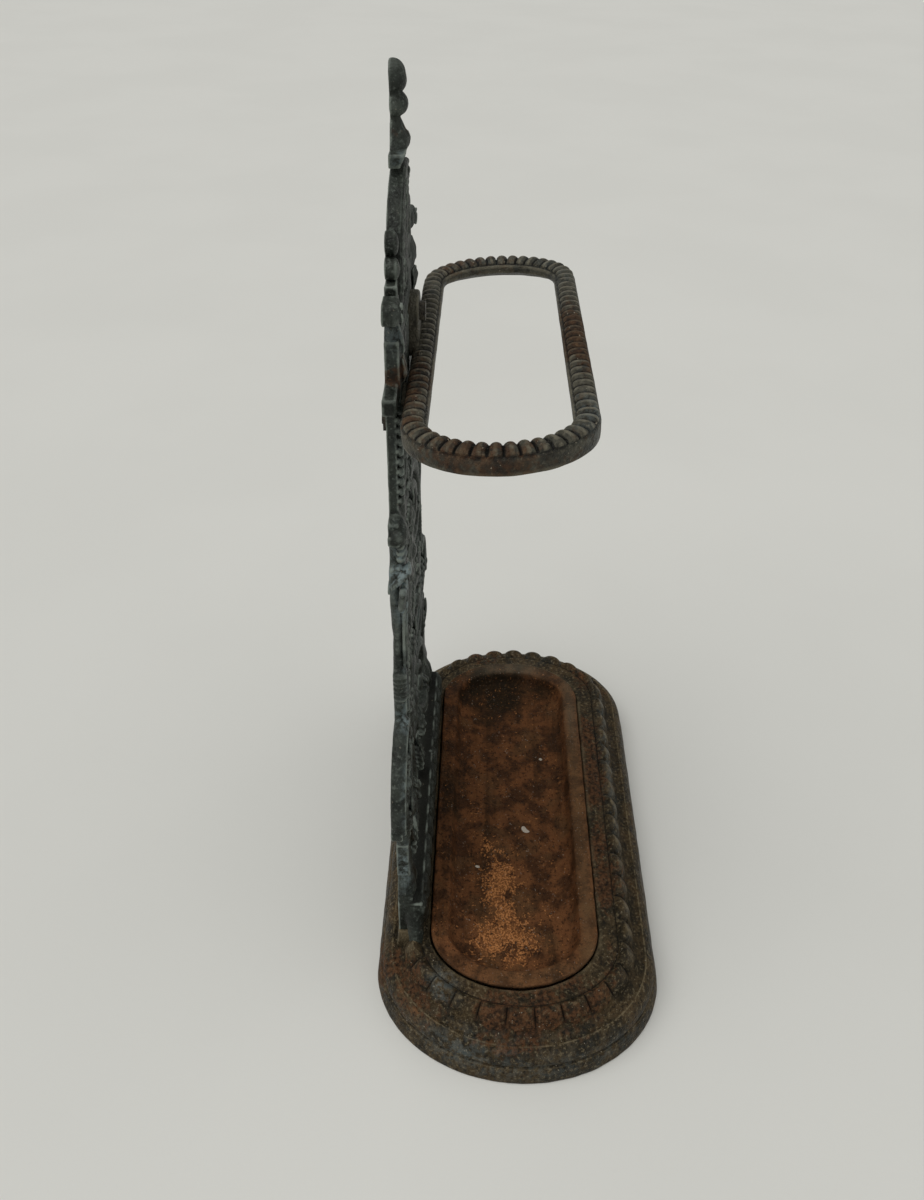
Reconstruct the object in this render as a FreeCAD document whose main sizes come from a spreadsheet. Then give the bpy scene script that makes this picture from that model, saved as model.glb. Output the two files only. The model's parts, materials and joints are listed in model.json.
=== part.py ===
import FreeCAD, Part
import math
import os
import Sketcher

# Umbrella stand: a heavy oblong iron base with a loose drip tray, an upright pierced back panel
# bolted to the base, and an oblong hoop bolted to the front of the panel.
# Millimetres. +Z is up, -Y is the front, X runs along the base, and the origin is the centre of
# the base's footprint on the floor.

Vector = FreeCAD.Vector
Constraint = Sketcher.Constraint

# Every driving dimension: alias, value in millimetres (degrees for tilts), what it is.
DIMENSIONS = [
    ("no_inset", 0, "an outline at its full size"),
    ("base_half_length", 220, "base footprint, half its length"),
    ("base_half_depth", 107, "base footprint, half its depth"),
    ("base_end_reach", 88, "length of each elliptical end of the base"),
    ("foot_inset", 3.2, "how far the plain foot band leans in"),
    ("foot_height", 12.5, "top of the foot band"),
    ("groove_inset", 4.8, "groove above the foot band"),
    ("groove_height", 14.5, "height of the groove"),
    ("band_low_inset", 4.2, "bottom of the hollow band"),
    ("band_low_height", 17, "height of the bottom of the band"),
    ("band_mid_inset", 6.5, "hollow band, where it turns outwards"),
    ("band_mid_height", 25, "height of that turn"),
    ("band_top_inset", 11, "top edge of the hollow band"),
    ("band_top_height", 28.5, "height of that edge"),
    ("shoulder_inset", 17.5, "shoulder under the lobed crest"),
    ("shoulder_height", 30, "height of the shoulder"),
    ("crest_low_inset", 20.5, "outer face of the lobed crest"),
    ("crest_low_height", 38, "height where the crest rounds over"),
    ("crest_inset", 26, "top edge of the lobed crest"),
    ("base_height", 44, "top of the base"),
    ("shell_inset", 6, "thickness of the casting at the floor"),
    ("shell_low_inset", 10, "cavity, a third of the way up"),
    ("shell_low_height", 12, "height of that section of the cavity"),
    ("shell_mid_inset", 17, "cavity, two thirds of the way up"),
    ("shell_mid_height", 23.5, "height of that section of the cavity"),
    ("shell_top_inset", 33, "cavity at its roof"),
    ("shell_top_height", 38.5, "roof of the cavity"),
    ("well_half_length", 175, "well for the drip tray, half its length"),
    ("well_half_depth", 64, "well, half its depth"),
    ("well_end_reach", 48.6, "length of each elliptical end of the well"),
    ("well_wall", 5, "thickness of the well's wall"),
    ("cup_inset", "=-well_wall", "outside of the well's wall"),
    ("well_floor", 31, "height of the well's floor"),
    ("well_underside", 26, "height of the underside of that floor"),
    ("tray_centre", 4, "how far the tray and its well sit towards the back"),
    ("tray_half_length", 173, "tray, half its length over the rim"),
    ("tray_half_depth", 62, "tray, half its depth over the rim"),
    ("tray_end_reach", 46.6, "length of each elliptical end of the tray"),
    ("tray_top", 47, "height of the tray's rim"),
    ("rim_thickness", 3, "thickness of the tray's rim"),
    ("rim_width", 12.5, "width of the tray's rim"),
    ("pan_slope", 4, "how far the pan's wall leans in"),
    ("pan_wall", 2.5, "thickness of the pan's wall"),
    ("pan_mouth", "=rim_width", "inside of the pan's wall at the rim"),
    ("pan_foot", "=rim_width + pan_slope", "inside of the pan's wall at the floor"),
    ("pan_outer_mouth", "=pan_mouth - pan_wall", "outside of the wall at the rim"),
    ("pan_outer_foot", "=pan_foot - pan_wall", "outside of the wall at the floor"),
    ("rim_underside", "=tray_top - rim_thickness", "underside of the rim"),
    ("pan_floor", 34, "height of the pan's floor"),
    ("pan_underside", 31.4, "height of the pan's underside"),
    ("hoop_half_length", 147.5, "hoop, half its outer length"),
    ("hoop_half_depth", 51.6, "hoop, half its outer depth"),
    ("hoop_end_reach", 43.7, "length of each elliptical end of the hoop"),
    ("hoop_bar", 14, "width of the hoop's bar"),
    ("hoop_band", 10.4, "height of the smooth band round the hoop"),
    ("hoop_foot", 3.5, "width of the band's lower edge"),
    ("hoop_lip", 5, "height of the lower edge inside the hoop"),
    ("hoop_bevel_inset", 1.5, "hoop, where its top rounds over"),
    ("hoop_bevel_height", 12.8, "height of that line"),
    ("hoop_crown_inset", 4.5, "hoop, edge of its crown"),
    ("hoop_rise", 14.8, "full height of the hoop's bar"),
    ("hoop_level", 440.6, "height of the hoop's underside at the back"),
    ("hoop_back", 79.6, "back face of the hoop"),
    ("hoop_tilt", 3.7, "degrees by which the hoop's front is raised"),
    ("hoop_droop", 1, "degrees by which the hoop hangs lower at its right end"),
    ("lug_thickness", 6, "thickness of a lug"),
    ("lug_root", 451, "height where the lugs leave the hoop's bar"),
    ("ear_radius", 12, "rounded end of the middle lug"),
    ("ear_level", 471, "bolt through the middle lug, above the bar"),
    ("side_lug_radius", 10, "rounded end of a side lug"),
    ("side_lug_level", 432.5, "bolt through a side lug, below the bar"),
    ("side_lug_spacing", 62, "side lugs, distance from the middle"),
    ("panel_back", 90, "back plane of the panel"),
    ("panel_thickness", 8, "thickness of the panel's plate"),
    ("relief", 6, "how far the raised ornament stands proud of the plate"),
    ("rail_half_length", 128, "foot rail, half its length"),
    ("rail_front", 71, "front face of the foot rail"),
    ("rail_back", 90, "back face of the foot rail"),
    ("rail_top", 75, "top of the foot rail"),
    ("seat_inset", 2, "how far the rail's seat on the base runs past the rail"),
    ("seat_foot", 28, "bottom of that seat, inside the casting"),
    ("bolt_face", 33, "flat under the seat for a bolt's washer"),
    ("pocket_radius", 9.5, "round pocket with that flat at its top"),
    ("pocket_foot", 20, "bottom of the pocket, in the cavity"),
    ("wing_x", 105, "wings at the panel's sides, centre of their curve"),
    ("wing_z", 190, "height of that centre"),
    ("wing_radius", 46, "radius of that curve"),
    ("arch_z", 499, "crest, height of the arch's centre"),
    ("arch_radius", 54, "outer radius of the arch"),
    ("arch_opening_radius", 40, "inner radius of the arch"),
    ("bolt_radius", 3, "bolt shank"),
    ("thread_gap", 0.05, "clearance of a bolt's shank in its thread"),
    ("slot_width", 1.6, "screwdriver slot"),
    ("slot_depth", 1.5, "depth of that slot"),
    ("hoop_bolt_tip", 94, "back ends of the hoop's bolts"),
    ("bolt_clearance", 0.3, "clearance round a bolt's shank"),
    ("bolt_head_radius", 5.5, "round bolt head"),
    ("bolt_head_height", 3.5, "height of a bolt head"),
    ("nut_width", 10, "square nut, across its flats"),
    ("nut_height", 3.2, "thickness of a nut"),
    ("foot_bolt_spacing", 95, "foot bolts, distance from the middle"),
    ("foot_bolt_line", 82, "foot bolts, distance behind the middle"),
    ("foot_bolt_tip", 62, "height of the foot bolts' tips, inside the rail"),
    ("washer_radius", 7.8, "washer under a foot bolt's head"),
    ("washer_height", 2, "thickness of a washer"),
]

# Flat bars of the panel, in front view: left edge, right edge, bottom and top. A bar that doesn't
# cross the middle has a mirror image.
PANEL_BARS = {
    "centre_post": (-9, 9, 75, 450),
    "pedestal": (106, 123, 75, 176),
    "wing_foot": (100, 151, 174, 190),
    "stem": (88, 104, 174, 348),
    "stem_foot": (86, 105, 255, 273),
    "scroll_cuff": (84, 111, 342, 352),
    "scroll_neck": (80, 97, 350, 378),
    "pilaster_step": (68, 100, 370, 382),
    "pilaster": (68, 86, 376, 456),
    "pilaster_cap": (64, 102, 453, 463),
    "urn": (60, 79, 462, 500),
    "arch_foot": (42, 72, 474, 512),
    "fan_post": (-5, 5, 478, 550),
    "finial_neck": (-8, 8, 548, 576),
    "low_bar": (-92, 92, 243, 253),
    "middle_bar": (-90, 90, 352, 364),
    "hoop_plate": (-80, 80, 426, 485),
}

# Round pieces of the panel, in front view: middle, height, radius and radius of the opening, with
# none in a plain disc. A piece away from the middle has a mirror image.
PANEL_ROUNDS = {
    "medallion": (0, 160, 36, 22),
    "low_scroll": (66, 120, 46, 28),
    "high_scroll": (55, 208, 36, 25),
    "heart_scroll": (52, 300, 40, 27),
    "heart_boss": (0, 300, 24, 0),
    "upper_scroll": (43, 397, 40, 28),
    "upper_boss": (0, 397, 20, 0),
    "knob": (79, 502, 10, 0),
    "ball_low": (60, 518, 8, 0),
    "ball_high": (61, 529, 7, 0),
    "finial_ball": (0, 581, 8, 0),
    "finial_bud": (0, 594.5, 9, 0),
}

# Raised rosettes on the front of the panel: middle, height and radius.
PANEL_ROSETTES = {
    "rosette_low": (0, 160, 12),
    "rosette_heart": (0, 300, 19),
    "rosette_upper": (0, 397, 16),
}

doc = FreeCAD.newDocument("UmbrellaStand")
sheet = doc.addObject("Spreadsheet::Sheet", "Dims")
for table, keys in ((PANEL_BARS, ("left", "right", "low", "high")),
                    (PANEL_ROUNDS, ("x", "z", "radius", "opening")),
                    (PANEL_ROSETTES, ("x", "z", "radius"))):
    for name, values in table.items():
        DIMENSIONS += [("%s_%s" % (name, key), value, "panel") for key, value in zip(keys, values)]
for row, (alias, value, meaning) in enumerate(DIMENSIONS, start=1):
    sheet.set("A%d" % row, str(value))
    sheet.setAlias("A%d" % row, alias)
    sheet.set("B%d" % row, meaning)
doc.recompute()
size = {alias: float(sheet.get(alias)) for alias, value, meaning in DIMENSIONS}


def bind(thing, **properties):
    """Bind properties to expressions; a double underscore stands for a dot."""
    for name, expression in properties.items():
        thing.setExpression(name.replace("__", "."), str(expression))


# ---------------------------------------------------------------- shapes used more than once

def oblong(name, outline, inset="no_inset", level=None, middle=None):
    """A closed oblong with straight sides and elliptical ends, set in by one dimension."""
    sketch = doc.addObject("Sketcher::SketchObject", name)
    depth = size[outline + "_half_depth"] - size[inset]
    reach = size[outline + "_end_reach"] - size[inset]
    straight = size[outline + "_half_length"] - size[outline + "_end_reach"]
    ends = {}
    for side in (1, -1):
        centre = Vector(side * straight, 0, 0)
        ellipse = Part.Ellipse(centre - Vector(0, side * depth, 0), centre + Vector(side * reach, 0, 0), centre)
        ends[side] = sketch.addGeometry(Part.ArcOfEllipse(ellipse, 0, math.pi))
    back = sketch.addGeometry(Part.LineSegment(Vector(-straight, depth, 0), Vector(straight, depth, 0)))
    front = sketch.addGeometry(Part.LineSegment(Vector(straight, -depth, 0), Vector(-straight, -depth, 0)))
    sketch.addConstraint([
        Constraint("Coincident", back, 2, ends[1], 2),
        Constraint("Coincident", front, 1, ends[1], 1),
        Constraint("Coincident", back, 1, ends[-1], 1),
        Constraint("Coincident", front, 2, ends[-1], 2),
    ])
    for side, end in ends.items():
        major = sketch.GeometryCount
        minor = major + 1
        sketch.exposeInternalGeometry(end)
        sketch.addConstraint([
            Constraint("PointOnObject", end, 3, -1),
            Constraint("Vertical", major),
            Constraint("Vertical", end, 1, end, 3),
            Constraint("Vertical", end, 2, end, 3),
        ])
        points = (-1, 1, end, 3) if side > 0 else (end, 3, -1, 1)
        offset = sketch.addConstraint(Constraint("DistanceX", *points, straight))
        expression = "Dims.%s_half_length - Dims.%s_end_reach" % (outline, outline)
        sketch.setExpression("Constraints[%d]" % offset, expression)
        for line, extent, value in ((major, "half_depth", depth), (minor, "end_reach", reach)):
            length = sketch.addConstraint(Constraint("Distance", line, 2 * value))
            expression = "2 * (Dims.%s_%s - Dims.%s)" % (outline, extent, inset)
            sketch.setExpression("Constraints[%d]" % length, expression)
    if level:
        bind(sketch, Placement__Base__z="Dims." + level)
    if middle:
        bind(sketch, Placement__Base__y="Dims." + middle)
    return sketch


def loft(name, sections):
    """A solid with straight walls from each section to the next."""
    solid = doc.addObject("Part::Loft", name)
    solid.Sections = sections
    solid.Solid = True
    solid.Ruled = True
    return solid


def slab(name, sketch, height):
    """A sketch drawn straight up."""
    solid = doc.addObject("Part::Extrusion", name)
    solid.Base = sketch
    solid.DirMode = "Custom"
    solid.Dir = Vector(0, 0, 1)
    solid.Solid = True
    bind(solid, LengthFwd=height)
    return solid


def block(name, corner, length, depth, height):
    """A box from its lowest corner."""
    solid = doc.addObject("Part::Box", name)
    bind(solid, Placement__Base__x=corner[0], Placement__Base__y=corner[1], Placement__Base__z=corner[2])
    bind(solid, Length=length, Width=depth, Height=height)
    return solid


def upright(name, foot, radius, height):
    """A cylinder that stands up from its foot."""
    solid = doc.addObject("Part::Cylinder", name)
    bind(solid, Placement__Base__x=foot[0], Placement__Base__y=foot[1], Placement__Base__z=foot[2])
    bind(solid, Radius=radius, Height=height)
    return solid


def disc(name, x, z, radius, back="Dims.panel_back", depth="Dims.panel_thickness"):
    """A cylinder that runs forwards from the plane y = back."""
    solid = doc.addObject("Part::Cylinder", name)
    solid.Placement.Rotation = FreeCAD.Rotation(Vector(1, 0, 0), 90)
    bind(solid, Placement__Base__x=x, Placement__Base__y=back, Placement__Base__z=z)
    bind(solid, Radius=radius, Height=depth)
    return solid


def fuse(name, solids):
    joined = doc.addObject("Part::MultiFuse", name)
    joined.Shapes = solids
    joined.Label = name
    return joined


def cut(name, solid, tool):
    result = doc.addObject("Part::Cut", name)
    result.Base = solid
    result.Tool = tool
    result.Label = name
    return result


def common(name, solids):
    shared = doc.addObject("Part::MultiCommon", name)
    shared.Shapes = solids
    return shared


SIDES = {"left": -1, "right": 1}
PANEL_FRONT = "Dims.panel_back - Dims.panel_thickness"
HOLE_RADIUS = "Dims.bolt_radius + Dims.bolt_clearance"

# Bolts through the hoop's lugs: distance from the middle and height.
HOOP_BOLTS = {
    "centre": ("0", "Dims.ear_level"),
    "left": ("-Dims.side_lug_spacing", "Dims.side_lug_level"),
    "right": ("Dims.side_lug_spacing", "Dims.side_lug_level"),
}
# Bolts up through the base into the panel's foot rail.
FOOT_BOLTS = {side: ("%d * Dims.foot_bolt_spacing" % sign, "Dims.foot_bolt_line")
              for side, sign in SIDES.items()}


# ---------------------------------------------------------------- base casting

def make_base():
    """A hollow moulded casting with a well for the tray and a seat for the panel's rail."""
    outside = [
        ("no_inset", None),
        ("foot_inset", "foot_height"),
        ("groove_inset", "groove_height"),
        ("band_low_inset", "band_low_height"),
        ("band_mid_inset", "band_mid_height"),
        ("band_top_inset", "band_top_height"),
        ("shoulder_inset", "shoulder_height"),
        ("crest_low_inset", "crest_low_height"),
        ("crest_inset", "base_height"),
    ]
    cavity = [
        ("shell_inset", None),
        ("shell_low_inset", "shell_low_height"),
        ("shell_mid_inset", "shell_mid_height"),
        ("shell_top_inset", "shell_top_height"),
    ]
    outside = loft("base_outside", [oblong("base_section_%d" % index, "base", *level)
                                    for index, level in enumerate(outside)])
    cavity = loft("base_cavity", [oblong("cavity_section_%d" % index, "base", *level)
                                  for index, level in enumerate(cavity)])
    shell = cut("base_shell", outside, cavity)

    cup = slab("well_cup", oblong("cup_section", "well", "cup_inset", "well_underside", "tray_centre"),
               "Dims.base_height - Dims.well_underside")
    well = slab("well", oblong("well_section", "well", "no_inset", "well_floor", "tray_centre"),
                "Dims.base_height - Dims.well_floor + 1")
    seat_corner = ("-Dims.rail_half_length - Dims.seat_inset", "Dims.rail_front - Dims.seat_inset",
                   "Dims.seat_foot")
    seat = block("rail_seat", seat_corner, "2 * (Dims.rail_half_length + Dims.seat_inset)",
                 "Dims.rail_back - Dims.rail_front + 2 * Dims.seat_inset",
                 "Dims.base_height - Dims.seat_foot")
    openings = [well]
    for side, place in FOOT_BOLTS.items():
        openings.append(upright("base_hole_" + side, place + ("Dims.well_underside",), HOLE_RADIUS,
                                "Dims.base_height"))
        openings.append(upright("base_pocket_" + side, place + ("Dims.pocket_foot",), "Dims.pocket_radius",
                                "Dims.bolt_face - Dims.pocket_foot"))
    return cut("base_casting", fuse("base_body", [shell, cup, seat]), fuse("base_openings", openings))


# ---------------------------------------------------------------- drip tray

def make_tray():
    """A shallow loose pan with a flat rim and leaning walls."""

    def section(name, inset, level):
        return oblong(name, "tray", inset, level, "tray_centre")

    rim = slab("tray_rim", section("rim_section", "no_inset", "rim_underside"), "Dims.rim_thickness")
    outside = loft("pan_outside", [section("pan_outer_low", "pan_outer_foot", "pan_underside"),
                                   section("pan_outer_high", "pan_outer_mouth", "tray_top")])
    inside = loft("pan_inside", [section("pan_inner_low", "pan_foot", "pan_floor"),
                                 section("pan_inner_high", "pan_mouth", "tray_top")])
    return cut("drip_tray", fuse("tray_body", [rim, outside]), inside)


# ---------------------------------------------------------------- hoop

def make_hoop():
    """An oblong hoop, hollow below its rounded crown, raised at its front, with three lugs."""
    levels = [
        ("no_inset", None),
        ("no_inset", "hoop_band"),
        ("hoop_bevel_inset", "hoop_bevel_height"),
        ("hoop_crown_inset", "hoop_rise"),
    ]
    outside = loft("hoop_outside", [oblong("hoop_section_%d" % index, "hoop", *level)
                                    for index, level in enumerate(levels)])
    opening = slab("hoop_opening", oblong("opening_section", "hoop", "hoop_bar"), "Dims.hoop_rise + 1")
    hollow = loft("hoop_hollow", [oblong("hollow_low", "hoop", "hoop_foot", None),
                                  oblong("hollow_high", "hoop", "hoop_bar", "hoop_lip")])
    ring = cut("hoop_ring", outside, fuse("hoop_inside", [opening, hollow]))
    ring.Placement.Rotation = FreeCAD.Rotation(Vector(-size["hoop_tilt"], size["hoop_droop"], 0), 1)
    bind(ring, Placement__Rotation__Angle="sqrt(Dims.hoop_tilt ^ 2 + Dims.hoop_droop ^ 2)",
         Placement__Base__y="Dims.hoop_back - Dims.hoop_half_depth * cos(Dims.hoop_tilt * 1 deg)",
         Placement__Base__z="Dims.hoop_level + Dims.hoop_half_depth * sin(Dims.hoop_tilt * 1 deg)")
    lugs = []
    holes = []
    for name, (x, level) in HOOP_BOLTS.items():
        radius = "Dims.ear_radius" if name == "centre" else "Dims.side_lug_radius"
        low, high = ("Dims.lug_root", level) if name == "centre" else (level, "Dims.lug_root")
        corner = ("%s - %s" % (x, radius), "%s - Dims.lug_thickness" % PANEL_FRONT, low)
        lugs.append(block("lug_" + name, corner, "2 * " + radius, "Dims.lug_thickness", "%s - %s" % (high, low)))
        lugs.append(disc("lug_end_" + name, x, level, radius, PANEL_FRONT, "Dims.lug_thickness"))
        holes.append(disc("lug_hole_" + name, x, level, HOLE_RADIUS, PANEL_FRONT, "Dims.lug_thickness"))
    return cut("umbrella_hoop", fuse("hoop_body", [ring] + lugs), fuse("lug_holes", holes))


# ---------------------------------------------------------------- back panel

def panel_bar(name, side):
    """One flat bar of the panel, or its mirror image."""
    left, right = ("Dims.%s_%s" % (name, end) for end in ("left", "right"))
    x = left if side > 0 else "-" + right
    low, high = ("Dims.%s_%s" % (name, end) for end in ("low", "high"))
    suffix = "" if side > 0 else "_mirrored"
    return block(name + suffix, (x, PANEL_FRONT, low), "%s - %s" % (right, left), "Dims.panel_thickness",
                 "%s - %s" % (high, low))


def panel_round(name, side, opening):
    """One ring or disc of the panel, or its mirror image."""
    suffix = "" if side > 0 else "_mirrored"
    place = ("%d * Dims.%s_x" % (side, name), "Dims.%s_z" % name)
    whole = disc(name + suffix, *place, "Dims.%s_radius" % name)
    if not opening:
        return whole
    return cut(name + "_ring" + suffix, whole, disc(name + "_opening" + suffix, *place, "Dims.%s_opening" % name))


def make_panel():
    """A pierced upright panel: pilasters, scrolls, an arched crest, a finial and a foot rail."""
    pieces = [block("foot_rail", ("-Dims.rail_half_length", "Dims.rail_front", "Dims.base_height"),
                    "2 * Dims.rail_half_length", "Dims.rail_back - Dims.rail_front",
                    "Dims.rail_top - Dims.base_height")]
    for name, edges in PANEL_BARS.items():
        for side in (1, -1) if edges[0] > 0 else (1,):
            pieces.append(panel_bar(name, side))
    for name, values in PANEL_ROUNDS.items():
        for side in (1, -1) if values[0] > 0 else (1,):
            pieces.append(panel_round(name, side, values[3]))
    for name in PANEL_ROSETTES:
        pieces.append(disc(name, "Dims.%s_x" % name, "Dims.%s_z" % name, "Dims.%s_radius" % name,
                           depth="Dims.panel_thickness + Dims.relief"))
    for side, sign in SIDES.items():
        quarter = disc("wing_disc_" + side, "%d * Dims.wing_x" % sign, "Dims.wing_z", "Dims.wing_radius")
        start = "Dims.wing_x" if sign > 0 else "-Dims.wing_x - Dims.wing_radius"
        bounds = block("wing_bounds_" + side, (start, PANEL_FRONT, "Dims.wing_z"),
                       "Dims.wing_radius", "Dims.panel_thickness", "Dims.wing_radius")
        pieces.append(common("wing_" + side, [quarter, bounds]))
    arch = cut("arch_ring", disc("arch", "0", "Dims.arch_z", "Dims.arch_radius"),
               disc("arch_opening", "0", "Dims.arch_z", "Dims.arch_opening_radius"))
    upper = block("arch_bounds", ("-Dims.arch_radius", PANEL_FRONT, "Dims.arch_z - 5"),
                  "2 * Dims.arch_radius", "Dims.panel_thickness", "2 * Dims.arch_radius")
    pieces.append(common("arch_crest", [arch, upper]))
    holes = [disc("panel_hole_" + name, *place, HOLE_RADIUS) for name, place in HOOP_BOLTS.items()]
    holes += [upright("rail_hole_" + side, place + ("Dims.base_height",), "Dims.bolt_radius + Dims.thread_gap",
                      "Dims.foot_bolt_tip + 1 - Dims.base_height") for side, place in FOOT_BOLTS.items()]
    return cut("back_panel", fuse("panel_body", pieces), fuse("panel_holes", holes))


# ---------------------------------------------------------------- fasteners

def make_hoop_fasteners(name, place):
    """A round-headed bolt with a slot, and the square nut behind the panel."""
    head_back = "%s - Dims.lug_thickness" % PANEL_FRONT
    head = disc("hoop_head_" + name, *place, "Dims.bolt_head_radius", head_back, "Dims.bolt_head_height")
    shank = disc("hoop_shank_" + name, *place, "Dims.bolt_radius", "Dims.hoop_bolt_tip",
                 "Dims.hoop_bolt_tip - (%s)" % head_back)
    slot_corner = ("%s - Dims.bolt_head_radius" % place[0], "%s - Dims.bolt_head_height" % head_back,
                   "%s - Dims.slot_width / 2" % place[1])
    slot = block("hoop_slot_" + name, slot_corner, "2 * Dims.bolt_head_radius", "Dims.slot_depth", "Dims.slot_width")
    nut_corner = ("%s - Dims.nut_width / 2" % place[0], "Dims.panel_back", "%s - Dims.nut_width / 2" % place[1])
    nut = block("nut_block_" + name, nut_corner, "Dims.nut_width", "Dims.nut_height", "Dims.nut_width")
    thread = disc("nut_hole_" + name, *place, "Dims.bolt_radius + Dims.thread_gap",
                  "Dims.panel_back + Dims.nut_height", "Dims.nut_height")
    return [cut("hoop_bolt_" + name, fuse("hoop_bolt_body_" + name, [head, shank]), slot),
            cut("hoop_nut_" + name, nut, thread)]


def make_foot_fasteners(side, place):
    """A square-headed bolt under the base, with its washer."""
    washer_low = "Dims.bolt_face - Dims.washer_height"
    washer = cut("foot_washer_" + side,
                 upright("washer_disc_" + side, place + (washer_low,), "Dims.washer_radius", "Dims.washer_height"),
                 upright("washer_hole_" + side, place + (washer_low,), HOLE_RADIUS, "Dims.washer_height"))
    head_corner = ("%s - Dims.nut_width / 2" % place[0], "%s - Dims.nut_width / 2" % place[1],
                   "%s - Dims.bolt_head_height" % washer_low)
    head = block("foot_head_" + side, head_corner, "Dims.nut_width", "Dims.nut_width", "Dims.bolt_head_height")
    shank = upright("foot_shank_" + side, place + (washer_low,), "Dims.bolt_radius",
                    "Dims.foot_bolt_tip - (%s)" % washer_low)
    return [fuse("foot_bolt_" + side, [head, shank]), washer]


# ---------------------------------------------------------------- assembly and export

parts = [make_base(), make_tray(), make_hoop(), make_panel()]
for name, place in HOOP_BOLTS.items():
    parts += make_hoop_fasteners(name, place)
for side, place in FOOT_BOLTS.items():
    parts += make_foot_fasteners(side, place)
doc.recompute()

for thing in doc.Objects:
    if "Invalid" in thing.State or "Error" in thing.State:
        raise RuntimeError("%s failed to recompute" % thing.Name)
for part in parts:
    if part.Shape.isNull() or not part.Shape.isValid() or len(part.Shape.Solids) != 1:
        raise RuntimeError("%s isn't one valid solid" % part.Label)

os.makedirs("parts", exist_ok=True)
for part in parts:
    part.Shape.exportStep("parts/%s.step" % part.Label)
    print("%-20s %9.1f mm3" % (part.Label, part.Shape.Volume))
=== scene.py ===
import json
import math
from functools import cache

import bmesh
import bpy
import numpy as np
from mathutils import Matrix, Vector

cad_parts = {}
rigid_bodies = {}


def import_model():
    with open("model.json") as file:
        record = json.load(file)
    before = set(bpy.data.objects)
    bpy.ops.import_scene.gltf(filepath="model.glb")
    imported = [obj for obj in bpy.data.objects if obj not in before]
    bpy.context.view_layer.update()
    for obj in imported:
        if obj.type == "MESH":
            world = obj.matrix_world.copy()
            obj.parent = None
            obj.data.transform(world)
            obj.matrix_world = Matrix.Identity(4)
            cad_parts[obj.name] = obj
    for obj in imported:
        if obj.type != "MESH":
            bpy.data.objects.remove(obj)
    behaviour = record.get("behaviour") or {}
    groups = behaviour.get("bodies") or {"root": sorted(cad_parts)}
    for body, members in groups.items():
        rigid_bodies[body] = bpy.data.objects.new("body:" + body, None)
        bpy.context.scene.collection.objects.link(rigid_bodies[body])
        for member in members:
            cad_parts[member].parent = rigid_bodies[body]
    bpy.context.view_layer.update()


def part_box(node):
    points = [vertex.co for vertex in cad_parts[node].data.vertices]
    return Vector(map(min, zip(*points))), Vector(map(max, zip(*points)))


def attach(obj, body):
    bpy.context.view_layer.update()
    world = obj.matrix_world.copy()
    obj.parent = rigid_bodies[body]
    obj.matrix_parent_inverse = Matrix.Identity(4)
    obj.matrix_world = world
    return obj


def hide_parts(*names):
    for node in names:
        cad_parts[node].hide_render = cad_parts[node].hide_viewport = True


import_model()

import openvdb
from mathutils import Matrix, Vector

# Umbrella stand of cast iron. Sizes below are millimetres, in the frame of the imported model:
# +Z is up, -Y is the front and X runs along the base. Every mesh is scaled to metres as it is made.
MM = 0.001
IN_MM = 1000.0


def node_box(name):
    """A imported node's lowest and highest corner, in millimetres."""
    low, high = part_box(name)
    return low * IN_MM, high * IN_MM


BASE_HIGH = node_box("base_casting")[1]
TRAY_LOW, TRAY_HIGH = node_box("drip_tray")
TRAY_MIDDLE = (TRAY_LOW.y + TRAY_HIGH.y) / 2
TRAY_HALF_DEPTH = (TRAY_HIGH.y - TRAY_LOW.y) / 2


# ---- meshes

WELD = 0.01          # points of a mesh this near to each other become one
SHARP = 0.6          # radians between two faces whose edge is rounded
CORNER_STEPS = 3     # steps round a profile's small corner


def add_object(name, data):
    thing = bpy.data.objects.new(name, data)
    bpy.context.scene.collection.objects.link(thing)
    return thing


def make_mesh(name, points, faces):
    """A smooth-shaded object from points in millimetres."""
    mesh = bpy.data.meshes.new(name)
    mesh.from_pydata(np.asarray(points) * MM, [], faces)
    mesh.validate()
    mesh.shade_smooth()
    return add_object(name, mesh)


def vertex_rows(thing, kind="co"):
    """Each vertex's place, or its normal, in metres."""
    values = np.empty(len(thing.data.vertices) * 3)
    thing.data.vertices.foreach_get(kind, values)
    return values.reshape(-1, 3)


def paint(thing, name, values):
    """Keep a value at each vertex, for the material to read by name."""
    layer = thing.data.attributes.new(name, "FLOAT", "POINT")
    layer.data.foreach_set("value", np.asarray(values, np.float32).ravel())


def ring_mesh(name, rings, crest, closed=False):
    """A surface through rings of points, each ring closed, and closed across the rings too if asked.

    Crest is one value for each point: 1 on the top of a moulding, -1 at the bottom of a groove. The materials
    paint a highlight where it is high and shade where it is low.
    """
    count, around = rings.shape[:2]
    index = np.arange(count * around).reshape(count, around)
    ahead = np.roll(index, -1, axis=1)
    faces = []
    for row in range(count if closed else count - 1):
        after = (row + 1) % count
        faces += np.stack([index[row], ahead[row], ahead[after], index[after]], axis=1).tolist()
    thing = make_mesh(name, rings.reshape(-1, 3), faces)
    paint(thing, "crest", crest)
    shape = bmesh.new()
    shape.from_mesh(thing.data)
    bmesh.ops.remove_doubles(shape, verts=shape.verts, dist=WELD * MM)
    bmesh.ops.recalc_face_normals(shape, faces=shape.faces)
    shape.to_mesh(thing.data)
    shape.free()
    thing.data.shade_smooth()
    return thing


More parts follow.
